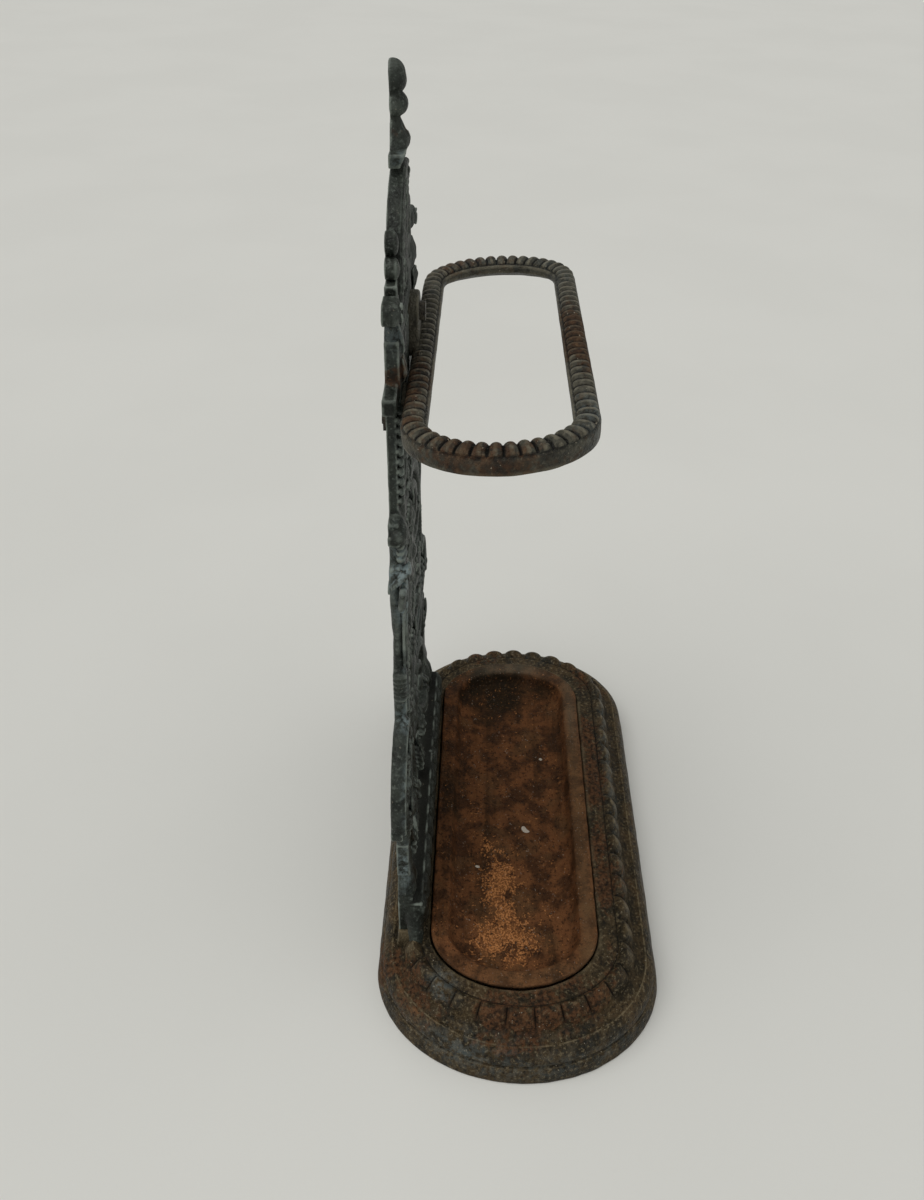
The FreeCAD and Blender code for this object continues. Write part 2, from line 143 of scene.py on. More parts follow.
class Oblong:
    """An outline with straight sides and elliptical ends, sampled evenly along it at some inset.

    Like is another outline whose samples this one takes over, so that one mesh can join the two.
    """

    END_STEPS = 400
    SPINE_REACH = 0.35

    def __init__(self, half_length, half_depth, end_reach, middle, samples=0, like=None, even_at=0.0):
        self.half_depth = half_depth
        self.end_reach = end_reach
        self.middle = middle
        self.straight = half_length - end_reach
        if like:
            self.fraction, self.along = like.fraction, like.along
            self.cosine, self.sine = like.cosine, like.sine
            return
        angle = np.linspace(-math.pi / 2, math.pi / 2, self.END_STEPS)
        reach, depth = end_reach - even_at, half_depth - even_at
        right = np.stack([self.straight + reach * np.cos(angle), depth * np.sin(angle)], axis=1)
        closed = np.concatenate([right, -right, right[:1]])
        length = np.concatenate([[0], np.cumsum(np.linalg.norm(np.diff(closed, axis=0), axis=1))])
        self.fraction = np.arange(samples) / samples
        x = np.interp(self.fraction * length[-1], length, closed[:, 0])
        y = np.interp(self.fraction * length[-1], length, closed[:, 1])
        self.along = np.clip(x / self.straight, -1, 1)
        cosine = np.clip(np.abs(x) - self.straight, 0, None) * np.sign(x) / reach
        sine = y / depth
        self.cosine = cosine / np.hypot(cosine, sine)
        self.sine = sine / np.hypot(cosine, sine)

    def ring(self, inset, height):
        """The outline set in by inset, at a height. Both may be one number or one for each sample."""
        x = self.along * self.straight + self.cosine * np.maximum(self.end_reach - inset, 0)
        y = self.middle + self.sine * np.maximum(self.half_depth - inset, 0)
        return np.stack([x, y, np.broadcast_to(height, x.shape)], axis=1)

    def rings(self, profile):
        """One ring for each (inset, height)."""
        return [self.ring(inset, height) for inset, height in profile]

    def spine(self, height):
        """The outline shrunk to the line along its middle."""
        x = self.along * (self.straight + self.end_reach * self.SPINE_REACH)
        return np.stack([x, np.full_like(x, self.middle), np.full_like(x, height)], axis=1)

    def domes(self, count):
        """A row of half circles along the outline: 1 in the middle of each and 0 between them."""
        position = (self.fraction * count) % 1
        return np.sqrt(np.clip(1 - (2 * position - 1) ** 2, 0, 1))


def blend_to(rings, last, steps):
    """Append rings that lead from the last one so far to another, and that one too."""
    first = rings[-1]
    rings.extend(first + (last - first) * step / steps for step in range(1, steps + 1))


def smooth_noise(points, wavelength, seed, octaves=3, waves=6):
    """Smooth noise, mostly from -1 to 1, at points in millimetres: sines in random directions."""
    rng = np.random.default_rng(seed)
    total = np.zeros(len(points))
    for octave in range(octaves):
        for _ in range(waves):
            direction = rng.normal(size=3)
            direction /= np.linalg.norm(direction)
            phase = rng.uniform(0, 2 * math.pi)
            step = 2 * math.pi / (wavelength / 2 ** octave * rng.uniform(0.8, 1.25))
            total += np.sin(points @ direction * step + phase) / 2 ** octave
    return total / waves


def roughen(thing, amount, wavelength, seed):
    """Move each vertex along its normal, as sand-cast iron is never quite even."""
    points, normals = vertex_rows(thing), vertex_rows(thing, "normal")
    shift = smooth_noise(points * IN_MM, wavelength, seed) * amount * MM
    thing.data.vertices.foreach_set("co", (points + normals * shift[:, None]).ravel())
    thing.data.update()


def settle(thing):
    """Lift whatever lies lower than the ground."""
    for vertex in thing.data.vertices:
        vertex.co.z = max(vertex.co.z, 0.0)


def soften(thing, width, segments):
    """Round the sharp edges of a solid."""
    shape = bmesh.new()
    shape.from_mesh(thing.data)
    bmesh.ops.recalc_face_normals(shape, faces=shape.faces)
    edges = [edge for edge in shape.edges if edge.calc_face_angle(0) > SHARP]
    bmesh.ops.bevel(shape, geom=edges, offset=width * MM, segments=segments, affect="EDGES", profile=0.5)
    shape.to_mesh(thing.data)
    shape.free()
    thing.data.shade_smooth()


def round_corners(levels, radius):
    """(inset, height) points with every inner corner of the profile rounded by a small radius."""
    levels = np.array(levels, float)
    out = [levels[0]]
    for before, here, after in zip(levels[:-2], levels[1:-1], levels[2:]):
        back, ahead = before - here, after - here
        lengths = np.linalg.norm(back), np.linalg.norm(ahead)
        reach = min(radius, 0.45 * lengths[0], 0.45 * lengths[1])
        start = here + back / lengths[0] * reach
        end = here + ahead / lengths[1] * reach
        for t in np.linspace(0, 1, CORNER_STEPS + 1):
            out.append((1 - t) ** 2 * start + 2 * t * (1 - t) * here + t * t * end)
    out.append(levels[-1])
    return out


# ---- materials

class Shader:
    """One material's nodes. Lengths are millimetres on the object."""

    def __init__(self, name):
        self.material = bpy.data.materials.new(name)
        self.material.use_nodes = True
        self.tree = self.material.node_tree
        self.tree.nodes.clear()
        output = self.node("OutputMaterial")
        self.surface = self.node("BsdfPrincipled")
        self.tree.links.new(self.surface.outputs["BSDF"], output.inputs["Surface"])
        self.place = self.node("TexCoord").outputs["Object"]
        self.sharpness = self.node("NewGeometry").outputs["Pointiness"]
        self.colour = None

    def node(self, kind):
        return self.tree.nodes.new("ShaderNode" + kind)

    def put(self, socket, value):
        """Link a socket to another, or set it to a number or a colour."""
        if isinstance(value, bpy.types.NodeSocket):
            self.tree.links.new(value, socket)
        else:
            socket.default_value = value

    def add(self, kind, output, inputs, **settings):
        """A new node's output, once its inputs and settings are in place."""
        node = self.node(kind)
        for name, value in settings.items():
            setattr(node, name, value)
        for name, value in inputs.items():
            self.put(node.inputs[name], value)
        return node.outputs[output]

    def noise(self, size, detail=3.0, rough=0.55, stretch=(1, 1, 1), shift=0.0):
        """Cloudy noise whose largest features are about this size."""
        place = self.add("Mapping", "Vector",
                         {"Vector": self.place, "Scale": stretch, "Location": (shift, shift * 0.7, -shift)})
        return self.add("TexNoise", "Fac",
                        {"Vector": place, "Scale": IN_MM / size, "Detail": detail, "Roughness": rough})

    def cells(self, size):
        """Distance from the middle of scattered cells."""
        return self.add("TexVoronoi", "Distance", {"Vector": self.place, "Scale": IN_MM / size})

    def step(self, value, low, high, start=0.0, end=1.0):
        """A smooth rise from start to end while the value goes from low to high."""
        return self.add("MapRange", "Result",
                        {"Value": value, "From Min": low, "From Max": high, "To Min": start, "To Max": end},
                        interpolation_type="SMOOTHSTEP")

    def math(self, operation, first, second):
        return self.add("Math", "Value", {0: first, 1: second}, operation=operation)

    def plus(self, first, second):
        return self.math("ADD", first, second)

    def times(self, first, second):
        return self.math("MULTIPLY", first, second)

    def mix(self, factor, first, second):
        return self.add("Mix", 2, {0: factor, 6: as_colour(first), 7: as_colour(second)},
                        data_type="RGBA")

    def coat(self, factor, colour):
        """Lay a colour over the material's colour so far."""
        self.colour = self.mix(factor, self.colour, colour)

    def zone(self, name):
        """A value painted at the mesh's vertices."""
        return self.add("Attribute", "Fac", {}, attribute_name=name)

    def edges(self, spread=0.03, low=0.51, high=0.56):
        """Where the surface is sharply convex, broken up a little."""
        ragged = self.math("MULTIPLY_ADD", self.math("SUBTRACT", self.noise(5.0), 0.5), spread)
        self.tree.links.new(self.sharpness, ragged.node.inputs[2])
        return self.step(ragged, low, high)

    def hollow_shade(self):
        """Where the surface is concave, for painted shade."""
        return self.step(self.sharpness, 0.44, 0.495, 1.0, 0.0)

    def specks(self, size, rare, patch, sparse):
        """Scattered specks in loose patches. The higher rare and sparse are, the fewer there are."""
        return self.times(self.step(self.noise(size, 1.0, 0.3, shift=2.0), rare, rare + 0.04),
                          self.step(self.noise(patch, shift=5.0), sparse, sparse + 0.12))

    def finish(self, rough, height, depth, specular):
        """The material, with its colour so far. Depth is how many millimetres the bump stands for."""
        bump = self.add("Bump", "Normal", {"Height": height, "Strength": 1.0, "Distance": depth * MM})
        self.put(self.surface.inputs["Base Color"], self.colour)
        self.put(self.surface.inputs["Roughness"], rough)
        self.put(self.surface.inputs["Normal"], bump)
        self.surface.inputs["Specular IOR Level"].default_value = specular
        return self.material


def as_colour(value):
    return value if isinstance(value, bpy.types.NodeSocket) else (*value, 1.0)


def paint_zone(thing, name, spots, wobble):
    """Paint a sum of soft spots: (x, y, z, reach x, reach y, reach z, value). Wobble makes it uneven."""
    points = vertex_rows(thing) * IN_MM
    total = np.zeros(len(points))
    for spot in spots:
        offset = (points - np.array(spot[:3])) / np.array(spot[3:6])
        total += spot[6] * np.exp(-(offset ** 2).sum(axis=1))
    if wobble:
        total *= 1 + wobble * smooth_noise(points, 30.0, seed=11)
    paint(thing, name, total)


# Soot for the dark grime flecks, and painted shade for concave places.
SOOT_AND_SHADE = (0.004, 0.004, 0.003)
GROOVE_SHADE = (0.0035, 0.0035, 0.0025)
DIRT_AND_SHADE = (0.006, 0.0062, 0.0038)
BLOOM_AND_HIGHLIGHT = (0.17, 0.215, 0.22)
RUSTS = (0.026, 0.0125, 0.006), (0.075, 0.033, 0.014), (0.15, 0.072, 0.03)
RUSTY_FLECK = (0.135, 0.085, 0.045)
RUSTY_CREST = (0.088, 0.06, 0.034)
RUSTY_EDGE = (0.15, 0.1, 0.06)
OLD_PLASTER = (0.34, 0.3, 0.23)


def old_iron(name, dark, light, tint, rust, pale, pale_colour, rust_tone=1.0, grime=0.5, depth=1.6,
             specular=0.22, groove=0.95, specks=0.75, edge=(0.51, 0.56)):
    """Cast iron under old paint: mottled, rusty in places, pale on its raised edges from wear and a painted
    highlight, with a painted highlight on moulding tops and painted shade in its grooves and concave places.

    Dark, light and tint are the paint. Rust, pale, grime, groove and specks say how much of each there is;
    pale sets the painted highlight on tops and edges, and groove the painted shade in grooves.
    Edge is the sharpness at which an edge starts to turn pale, from wear and painted highlight, and at which
    it is fully pale.
    """
    iron = Shader(name)
    large, middle = iron.noise(55), iron.noise(13, shift=0.3)
    fine, grit = iron.noise(4.0), iron.noise(1.1, 2.0)
    iron.colour = iron.mix(iron.step(middle, 0.38, 0.62), dark, light)
    iron.coat(iron.step(iron.noise(30, shift=1.7), 0.5, 0.64, 0.0, 0.6), tint)

    bare = iron.plus(iron.zone("rust"), iron.step(large, 0.35, 0.75, -0.35 + rust, 0.35 + rust))
    bare = iron.plus(bare, iron.step(fine, 0.2, 0.8, -0.22, 0.22))
    rusty = iron.step(bare, 0.36, 0.78)
    brown, orange, tan = (tuple(rust_tone * part for part in tone) for tone in RUSTS)
    rust_colour = iron.mix(iron.step(fine, 0.4, 0.6), brown, orange)
    rust_colour = iron.mix(iron.step(iron.noise(7.0, shift=4.0), 0.55, 0.72, 0.0, 0.7), rust_colour, tan)
    iron.coat(iron.times(rusty, 0.85), rust_colour)

    # Fine grime: dark flecks and pale ones, one or two millimetres across.
    flecks = iron.noise(2.4, 3.0, 0.65, shift=6.0)
    iron.coat(iron.step(flecks, 0.47, 0.34, 0.0, grime), SOOT_AND_SHADE)
    fleck_colour = iron.mix(rusty, pale_colour, RUSTY_FLECK)
    iron.coat(iron.step(flecks, 0.54, 0.68, 0.0, grime * 0.8), fleck_colour)

    # Mouldings: a painted highlight on their tops and painted shade in their grooves.
    crest = iron.zone("crest")
    top = iron.times(iron.step(crest, 0.7, 0.98), iron.step(iron.noise(5.0, shift=8.0), 0.34, 0.56))
    iron.coat(iron.times(top, pale * 0.9), iron.mix(rusty, pale_colour, RUSTY_CREST))
    iron.coat(iron.step(crest, 0.3, -0.65, 0.0, groove), GROOVE_SHADE)
    # Grime and painted shadow along the foot of the panel, where the panel shades the rail and the base.
    iron.coat(iron.times(iron.zone("dirt_and_shade"), iron.step(middle, 0.3, 0.55, 0.75, 1.0)), DIRT_AND_SHADE)

    # Pale patina, which in places stands in for a painted highlight.
    bloom_and_highlight = iron.times(iron.zone("bloom_and_highlight"), iron.step(iron.noise(6.0, 4.0, 0.7), 0.4, 0.62))
    iron.coat(bloom_and_highlight, BLOOM_AND_HIGHLIGHT)
    # Raised edges turn pale, partly from wear of the paint and partly as a painted highlight.
    worn_and_highlit = iron.times(iron.edges(0.02, *edge), iron.step(middle, 0.34, 0.6, 0.2 * pale, pale))
    iron.coat(worn_and_highlit, iron.mix(iron.times(rusty, 0.7), pale_colour, RUSTY_EDGE))
    # Painted shade in concave places.
    iron.coat(iron.times(iron.hollow_shade(), 0.85), SOOT_AND_SHADE)
    iron.coat(iron.times(iron.specks(1.5, 0.72, 11, 0.48), specks), OLD_PLASTER)

    rough = iron.step(middle, 0.3, 0.7, 0.36, 0.6)
    rough = iron.plus(rough, iron.times(iron.plus(rusty, iron.zone("dirt_and_shade")), 0.28))
    pits = iron.step(iron.cells(2.6), 0.08, 0.34)
    height = iron.plus(iron.times(grit, 0.45), iron.times(fine, 0.8))
    height = iron.plus(height, iron.times(pits, 0.16))
    return iron.finish(rough, height, depth, specular)


@cache
def panel_material():
    return old_iron("panel_iron_paint", (0.009, 0.0125, 0.009), (0.038, 0.046, 0.037), (0.048, 0.058, 0.05),
                    rust=-0.06, pale=0.85, pale_colour=(0.21, 0.24, 0.21), grime=0.45, depth=1.2, specks=0.35,
                    specular=0.24, edge=(0.509, 0.545))


@cache
def hoop_material():
    return old_iron("hoop_iron_paint", (0.018, 0.0175, 0.012), (0.06, 0.056, 0.041), (0.048, 0.052, 0.041),
                    rust=0.24, pale=0.85, pale_colour=(0.175, 0.16, 0.115), rust_tone=0.8, grime=0.6,
                    depth=2.0)


@cache
def base_material():
    return old_iron("base_iron_paint", (0.02, 0.015, 0.0068), (0.06, 0.0415, 0.0195), (0.082, 0.052, 0.023),
                    rust=0.22, pale=0.6, pale_colour=(0.2, 0.16, 0.095), rust_tone=1.35, grime=0.8, depth=2.4,
                    specular=0.14, groove=0.3)


@cache
def fastener_material():
    return old_iron("fastener_iron_paint", (0.018, 0.016, 0.013), (0.04, 0.036, 0.03), (0.05, 0.038, 0.026),
                    rust=0.25, pale=0.4, pale_colour=(0.15, 0.135, 0.1))


TRAY_BROWNS = (0.056, 0.023, 0.009), (0.15, 0.061, 0.0235)
TRAY_TAN = (0.105, 0.052, 0.022)
TRAY_STREAK = (0.028, 0.0145, 0.006)
TRAY_SCALE_AND_SHADE = (0.012, 0.0088, 0.0042)
TRAY_FLECKS = (0.012, 0.006, 0.003), (0.14, 0.07, 0.028)
LOOSE_RUST = (0.19, 0.074, 0.024), (0.5, 0.215, 0.075)
TRAY_RIM = (0.135, 0.08, 0.038), (0.105, 0.102, 0.074)
TRAY_EDGE = (0.19, 0.13, 0.08)
TRAY_CHIP = (0.5, 0.45, 0.38)
TRAY_HOLLOW_SHADE = (0.01, 0.006, 0.004)


def tray_material():
    """Bare iron, rusted all over: dark scale, brown rust and bright loose rust, with painted shadow along the
    side next to the panel and painted shade in its concave places.
    """
    iron = Shader("tray_rust")
    large, middle = iron.noise(60, 4.0), iron.noise(16, shift=0.4)
    fine, grit = iron.noise(4.5), iron.noise(1.2, 2.0)
    iron.colour = iron.mix(iron.step(middle, 0.4, 0.6), *TRAY_BROWNS)
    iron.coat(iron.step(iron.noise(26, shift=3.0), 0.5, 0.66, 0.0, 0.75), TRAY_TAN)
    streak = iron.noise(34, 4.0, 0.6, stretch=(0.25, 2.2, 1.0))
    iron.coat(iron.step(streak, 0.5, 0.68, 0.0, 0.6), TRAY_STREAK)
    # Dark scale; along the side next to the panel it is painted shadow.
    dark = iron.plus(iron.zone("scale"), iron.step(large, 0.3, 0.7, -0.28, 0.28))
    iron.coat(iron.step(dark, 0.26, 0.8, 0.0, 0.92), TRAY_SCALE_AND_SHADE)
    flecks = iron.noise(2.6, 3.0, 0.65, shift=6.0)
    iron.coat(iron.step(flecks, 0.47, 0.35, 0.0, 0.7), TRAY_FLECKS[0])
    iron.coat(iron.step(flecks, 0.56, 0.72, 0.0, 0.5), TRAY_FLECKS[1])
    bright = iron.plus(iron.zone("loose"), iron.step(fine, 0.25, 0.75, -0.42, 0.42))
    bright = iron.plus(bright, iron.step(iron.noise(1.8, 3.0), 0.25, 0.75, -0.42, 0.42))
    iron.coat(iron.step(bright, 0.38, 0.8, 0.0, 0.9), iron.mix(iron.step(grit, 0.42, 0.6), *LOOSE_RUST))
    rim = iron.times(iron.zone("rim"), iron.step(middle, 0.25, 0.7, 0.3, 0.7))
    iron.coat(rim, iron.mix(iron.zone("grey"), *TRAY_RIM))
    iron.coat(iron.times(iron.edges(), 0.3), TRAY_EDGE)
    specks = iron.times(iron.specks(1.7, 0.7, 14, 0.46), 0.25)
    iron.coat(iron.math("MAXIMUM", specks, iron.step(iron.zone("chip"), 0.4, 0.6)), TRAY_CHIP)
    # Painted shade in concave places.
    iron.coat(iron.times(iron.hollow_shade(), 0.6), TRAY_HOLLOW_SHADE)
    rough = iron.step(middle, 0.3, 0.7, 0.5, 0.78)
    pits = iron.step(iron.cells(3.2), 0.06, 0.36)
    height = iron.plus(iron.plus(iron.times(grit, 0.55), fine), iron.times(pits, 0.2))
    return iron.finish(rough, height, 1.9, specular=0.09)


def floor_material():
    """A pale, faintly uneven floor."""
    floor = Shader("floor_paint")
    clouds = floor.step(floor.noise(420), 0.35, 0.65)
    floor.colour = floor.mix(clouds, (0.715, 0.722, 0.695), (0.73, 0.737, 0.71))
    return floor.finish(0.7, floor.noise(3.0), 0.05, specular=0.2)


# ---- base casting

LOBES = 48
LOBE_SAMPLES = 16
BASE_SAMPLES = LOBES * LOBE_SAMPLES
LOBE_RISE = 6.8
LOBE_CROWN = 0.84         # how far up its slope a lobe rises, as a part of the slope
LOBE_END = 0.16           # the rest, where it ends bluntly
LOBE_DIP = 1.4            # how deep the gaps between lobes are cut
LOBE_OUTER = (20.4, 31.6)
LOBE_INNER = (33.0, 43.6)
LOBE_ROW = 26.0           # the inset at which the lobes are evenly spaced
BASE_TRIM = 0.35
BASE_END_REACH = 88.0
WELL_GAP = 0.9
WELL_END_REACH = 48.6
WELL_WALL = 5.0
WELL_FLOOR = 31.0
CUP_FLOOR = 26.0          # the underside of the well
CUP_TOP = 38.5


def bell(value, middle, width):
    """1 at the middle, falling to 0 on both sides."""
    return math.exp(-((value - middle) / width) ** 2)


def make_base():
    """Moulded oblong casting: leaning foot, hollow band, a crest of egg-shaped lobes and the tray's well."""
    outline = Oblong(BASE_HIGH.x - BASE_TRIM, BASE_HIGH.y - BASE_TRIM, BASE_END_REACH - BASE_TRIM, 0.0,
                     samples=BASE_SAMPLES, even_at=LOBE_ROW)
    well = Oblong(TRAY_HIGH.x + WELL_GAP, TRAY_HALF_DEPTH + WELL_GAP, WELL_END_REACH, TRAY_MIDDLE,
                  like=outline)
    top = BASE_HIGH.z - 0.2
    rings = [well.spine(CUP_FLOOR)]
    blend_to(rings, well.ring(-WELL_WALL, CUP_FLOOR), 3)
    blend_to(rings, well.ring(-WELL_WALL, CUP_TOP), 2)
    under = [(33.0, CUP_TOP), (17.0, 23.5), (10.0, 12.0), (6.0, 1.0), (5.4, 0.0), (0.8, 0.0)]
    rings += outline.rings(round_corners(under, 2.0))
    outside = [(0.8, 0.0), (0.0, 0.9), (0.5, 4.0), (2.6, 11.4), (3.6, 12.6), (4.9, 13.4), (5.0, 15.0),
               (4.1, 16.2), (4.2, 18.0), (4.9, 21.5), (6.6, 25.0), (9.4, 27.9), (11.0, 28.9), (12.6, 28.8),
               (14.6, 28.4), (17.4, 29.2), (19.2, 30.4), LOBE_OUTER]
    plain = np.zeros(BASE_SAMPLES)
    crest = [plain] * len(rings)
    # Crest: a painted highlight on the edge over the hollow band and on the top of the foot, painted shade in
    # the groove above the foot and at the foot of the lobes.
    for inset, height in round_corners(outside, 0.8):
        rings.append(outline.ring(inset, height))
        crest.append(plain + bell(inset, 11.6, 1.3) + 0.85 * bell(height, 12.6, 0.9)
                     - 0.9 * bell(height, 15.0, 0.9) - 0.5 * bell(inset, 19.0, 0.9))

    # Each lobe is a dome over the slope from the shoulder to the margin: rounded outside, blunt inside.
    # At the left end they are half buried in rust scale.
    dome = outline.domes(LOBES)
    buried = np.clip((-outline.ring(LOBE_ROW, 0.0)[:, 0] - 130.0) / 50.0, 0, 1)
    slope = np.array(LOBE_INNER) - np.array(LOBE_OUTER)
    normal = np.array([-slope[1], slope[0]]) / np.hypot(*slope)
    start = LOBE_END * (1 - dome)
    for v in np.concatenate([np.linspace(0, 0.8, 15)[1:], np.linspace(0.8, 1, 11)[1:]]):
        climb = np.sin(math.pi / 2 * np.clip((v - start) / (LOBE_CROWN - start), 0, 1)) ** 0.9
        fall = math.sqrt(max(1 - (max(v - LOBE_CROWN, 0) / LOBE_END) ** 2, 0))
        rise = LOBE_RISE * (1 - 0.35 * buried) * dome ** (1 - 0.45 * buried) * climb * fall
        rise -= LOBE_DIP * (1 - buried) * (1 - dome) * math.sin(math.pi * v)
        rings.append(outline.ring(LOBE_OUTER[0] + slope[0] * v + normal[0] * rise,
                                  LOBE_OUTER[1] + slope[1] * v + normal[1] * rise))
        # Crest: a painted highlight on each lobe's top and painted shade in the gaps between lobes.
        crest.append((2 * dome ** 2 - 1) * min(1, 6 * v * (1.06 - v)) * (1 - 0.5 * buried))

    rings += outline.rings([(33.8, top - 1.2), (34.6, top - 0.2), (35.6, top)])
    blend_to(rings, well.ring(-1.2, top), 4)
    rings.append(well.ring(0.0, top - 1.2))
    blend_to(rings, well.ring(0.0, WELL_FLOOR + 2.0), 3)
    rings.append(well.ring(2.0, WELL_FLOOR))
    blend_to(rings, well.spine(WELL_FLOOR), 4)
    crest += [plain] * (len(rings) - len(crest))
    base = ring_mesh("base_visual", np.array(rings), crest)
    roughen(base, 0.3, 26.0, seed=1)
    settle(base)
    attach(base, "stand")
    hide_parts("base_casting")
    base.data.materials.append(base_material())
    return base


def make_rail_seat():
    """The pad on the base that carries the panel's foot rail. Its ends splay out to the moulding."""
    front = 69.4
    corners = []
    for half, back, level in ((132.5, 91.8, 28.6), (129.5, 90.0, 43.9)):
        corners += [(-half, front, level), (half, front, level), (half, back, level), (-half, back, level)]
    faces = [(0, 3, 2, 1), (4, 5, 6, 7), (0, 1, 5, 4), (1, 2, 6, 5), (2, 3, 7, 6), (3, 0, 4, 7)]
    seat = make_mesh("base_rail_seat", corners, faces)
    soften(seat, 1.4, 3)
    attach(seat, "stand")
    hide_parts("base_casting")
    seat.data.materials.append(base_material())


# ---- drip tray

TRAY_SAMPLES = 520
TRAY_END_REACH = 46.6
TRAY_UNDER = 31.5
TRAY_DEPTH = 13.0


def make_tray():
    """A loose pan: flat rim, leaning wall and a flat floor, all roughened a little."""
    outline = Oblong(TRAY_HIGH.x, TRAY_HALF_DEPTH, TRAY_END_REACH, TRAY_MIDDLE, samples=TRAY_SAMPLES)
    top = TRAY_HIGH.z
    under = [(19.0, TRAY_UNDER + 0.1), (15.4, 33.0), (11.4, top - 3.4), (10.2, top - 3.0), (0.0, top - 3.0)]
    upper = [(0.0, top - 3.0), (0.0, top - 0.8), (0.9, top), (3.0, top - 0.1), (8.0, top - 0.3),
             (11.0, top - 0.5), (12.3, top - 1.0), (13.2, top - 2.6), (15.0, top - 7.5), (17.2, top - 10.8),
             (21.5, top - 12.5), (27.0, top - TRAY_DEPTH)]
    rings = [outline.spine(TRAY_UNDER)]
    blend_to(rings, outline.ring(27.0, TRAY_UNDER), 4)
    rings += outline.rings(under + round_corners(upper, 1.2)[1:])
    blend_to(rings, outline.spine(top - TRAY_DEPTH), 26)
    tray = ring_mesh("drip_tray_visual", np.array(rings), np.zeros((len(rings), TRAY_SAMPLES)))
    roughen(tray, 0.22, 14.0, seed=2)
    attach(tray, "tray")
    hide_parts("drip_tray")
    tray.data.materials.append(tray_material())
    return tray


# ---- hoop

HOOP_RIBS = 84
HOOP_SAMPLES = HOOP_RIBS * 14
HOOP_HALF_LENGTH = 147.5
HOOP_HALF_DEPTH = 51.6
HOOP_END_REACH = 43.7
HOOP_BAR = 14.0
HOOP_TILT = 3.7           # degrees that its front is raised
HOOP_DROOP = 1.0          # degrees that its right end hangs down
HOOP_BACK = 79.6
HOOP_LEVEL = 440.6
BAND_TOP = 10.3
RIB_RISE = 4.0


def make_hoop():
    """An oblong hoop, smooth below and inside, with a row of half-round ribs over its top."""
    outline = Oblong(HOOP_HALF_LENGTH, HOOP_HALF_DEPTH, HOOP_END_REACH, 0.0, samples=HOOP_SAMPLES)
    dome = outline.domes(HOOP_RIBS)
    plain = np.zeros(HOOP_SAMPLES)
    below = [(HOOP_BAR, 5.8), (HOOP_BAR - 0.8, 5.0), (8.5, 2.8), (4.2, 0.6), (3.2, 0.0), (1.0, 0.0),
             (0.2, 0.8), (0.0, 3.0), (0.0, 8.6), (0.4, 9.7), (1.2, BAND_TOP)]
    inside = [(12.4, BAND_TOP + 0.1), (13.3, BAND_TOP + 0.2), (HOOP_BAR, BAND_TOP - 0.6), (HOOP_BAR, 8.0)]
    rings = outline.rings(below)
    # Over the top: a low crown, and on it a half-round rib that overhangs the band a little.
    crest = [plain] * len(rings)
    for angle in np.linspace(math.radians(172), math.radians(8), 21):
        inset = 6.7 + (5.0 + 0.9 * dome) * math.cos(angle)
        rings.append(outline.ring(inset, BAND_TOP + (0.4 + RIB_RISE * dome) * math.sin(angle) ** 0.7))
        # Crest: a painted highlight along each rib and painted shade between ribs.
        crest.append(2 * dome ** 2 - 1)
    rings += outline.rings(inside)
    crest += [plain] * (len(rings) - len(crest))
    hoop = ring_mesh("umbrella_hoop_visual", np.array(rings), crest, closed=True)
    front_up = math.radians(HOOP_TILT)
    turn = math.radians(math.hypot(HOOP_TILT, HOOP_DROOP))
    tilt = Matrix.Rotation(turn, 4, Vector((-HOOP_TILT, HOOP_DROOP, 0)))
    lift = Matrix.Translation(Vector((0, HOOP_BACK - HOOP_HALF_DEPTH * math.cos(front_up),
                                      HOOP_LEVEL + HOOP_HALF_DEPTH * math.sin(front_up))) * MM)
    hoop.data.transform(lift @ tilt)
    roughen(hoop, 0.14, 18.0, seed=3)
    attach(hoop, "stand")
    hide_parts("umbrella_hoop")
    hoop.data.materials.append(hoop_material())
    return hoop


LUG_ROOT = 449.0          # the level of the bar that the lugs grow from
LUG_FRONT = 76.0
LUG_BACK = 83.0
LUG_STEPS = 20
LUG_FLARE = 1.3           # how much wider a lug is at its root than at its round end


def make_lug(name, x, level, radius):
    """A round-ended lug between the hoop's bar and its bolt."""
    towards = radius if level > LUG_ROOT else -radius
    outline = [(x + radius * math.cos(angle), level + towards * math.sin(angle))
               for angle in np.linspace(0, math.pi, LUG_STEPS + 1)]
    outline += [(x - radius * LUG_FLARE, LUG_ROOT), (x + radius * LUG_FLARE, LUG_ROOT)]
    count = len(outline)
    points = [(px, y, pz) for y in (LUG_FRONT, LUG_BACK) for px, pz in outline]
    faces = [tuple(range(count)), tuple(range(2 * count - 1, count - 1, -1))]
    faces += [(i, i + count, (i + 1) % count + count, (i + 1) % count) for i in range(count)]
    lug = make_mesh(name, points, faces)
    soften(lug, 1.5, 4)
    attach(lug, "stand")
    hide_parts("umbrella_hoop")
    lug.data.materials.append(hoop_material())


# ---- back panel

PANEL_BACK = 90.0
BEHIND = PANEL_BACK + 4   # shapes that are cut off flat at the back reach past it
BAR_MIDDLE = 84.5
FAR = 9.0                 # the distance kept where no iron is near
FILLET_ROOM = 3.5


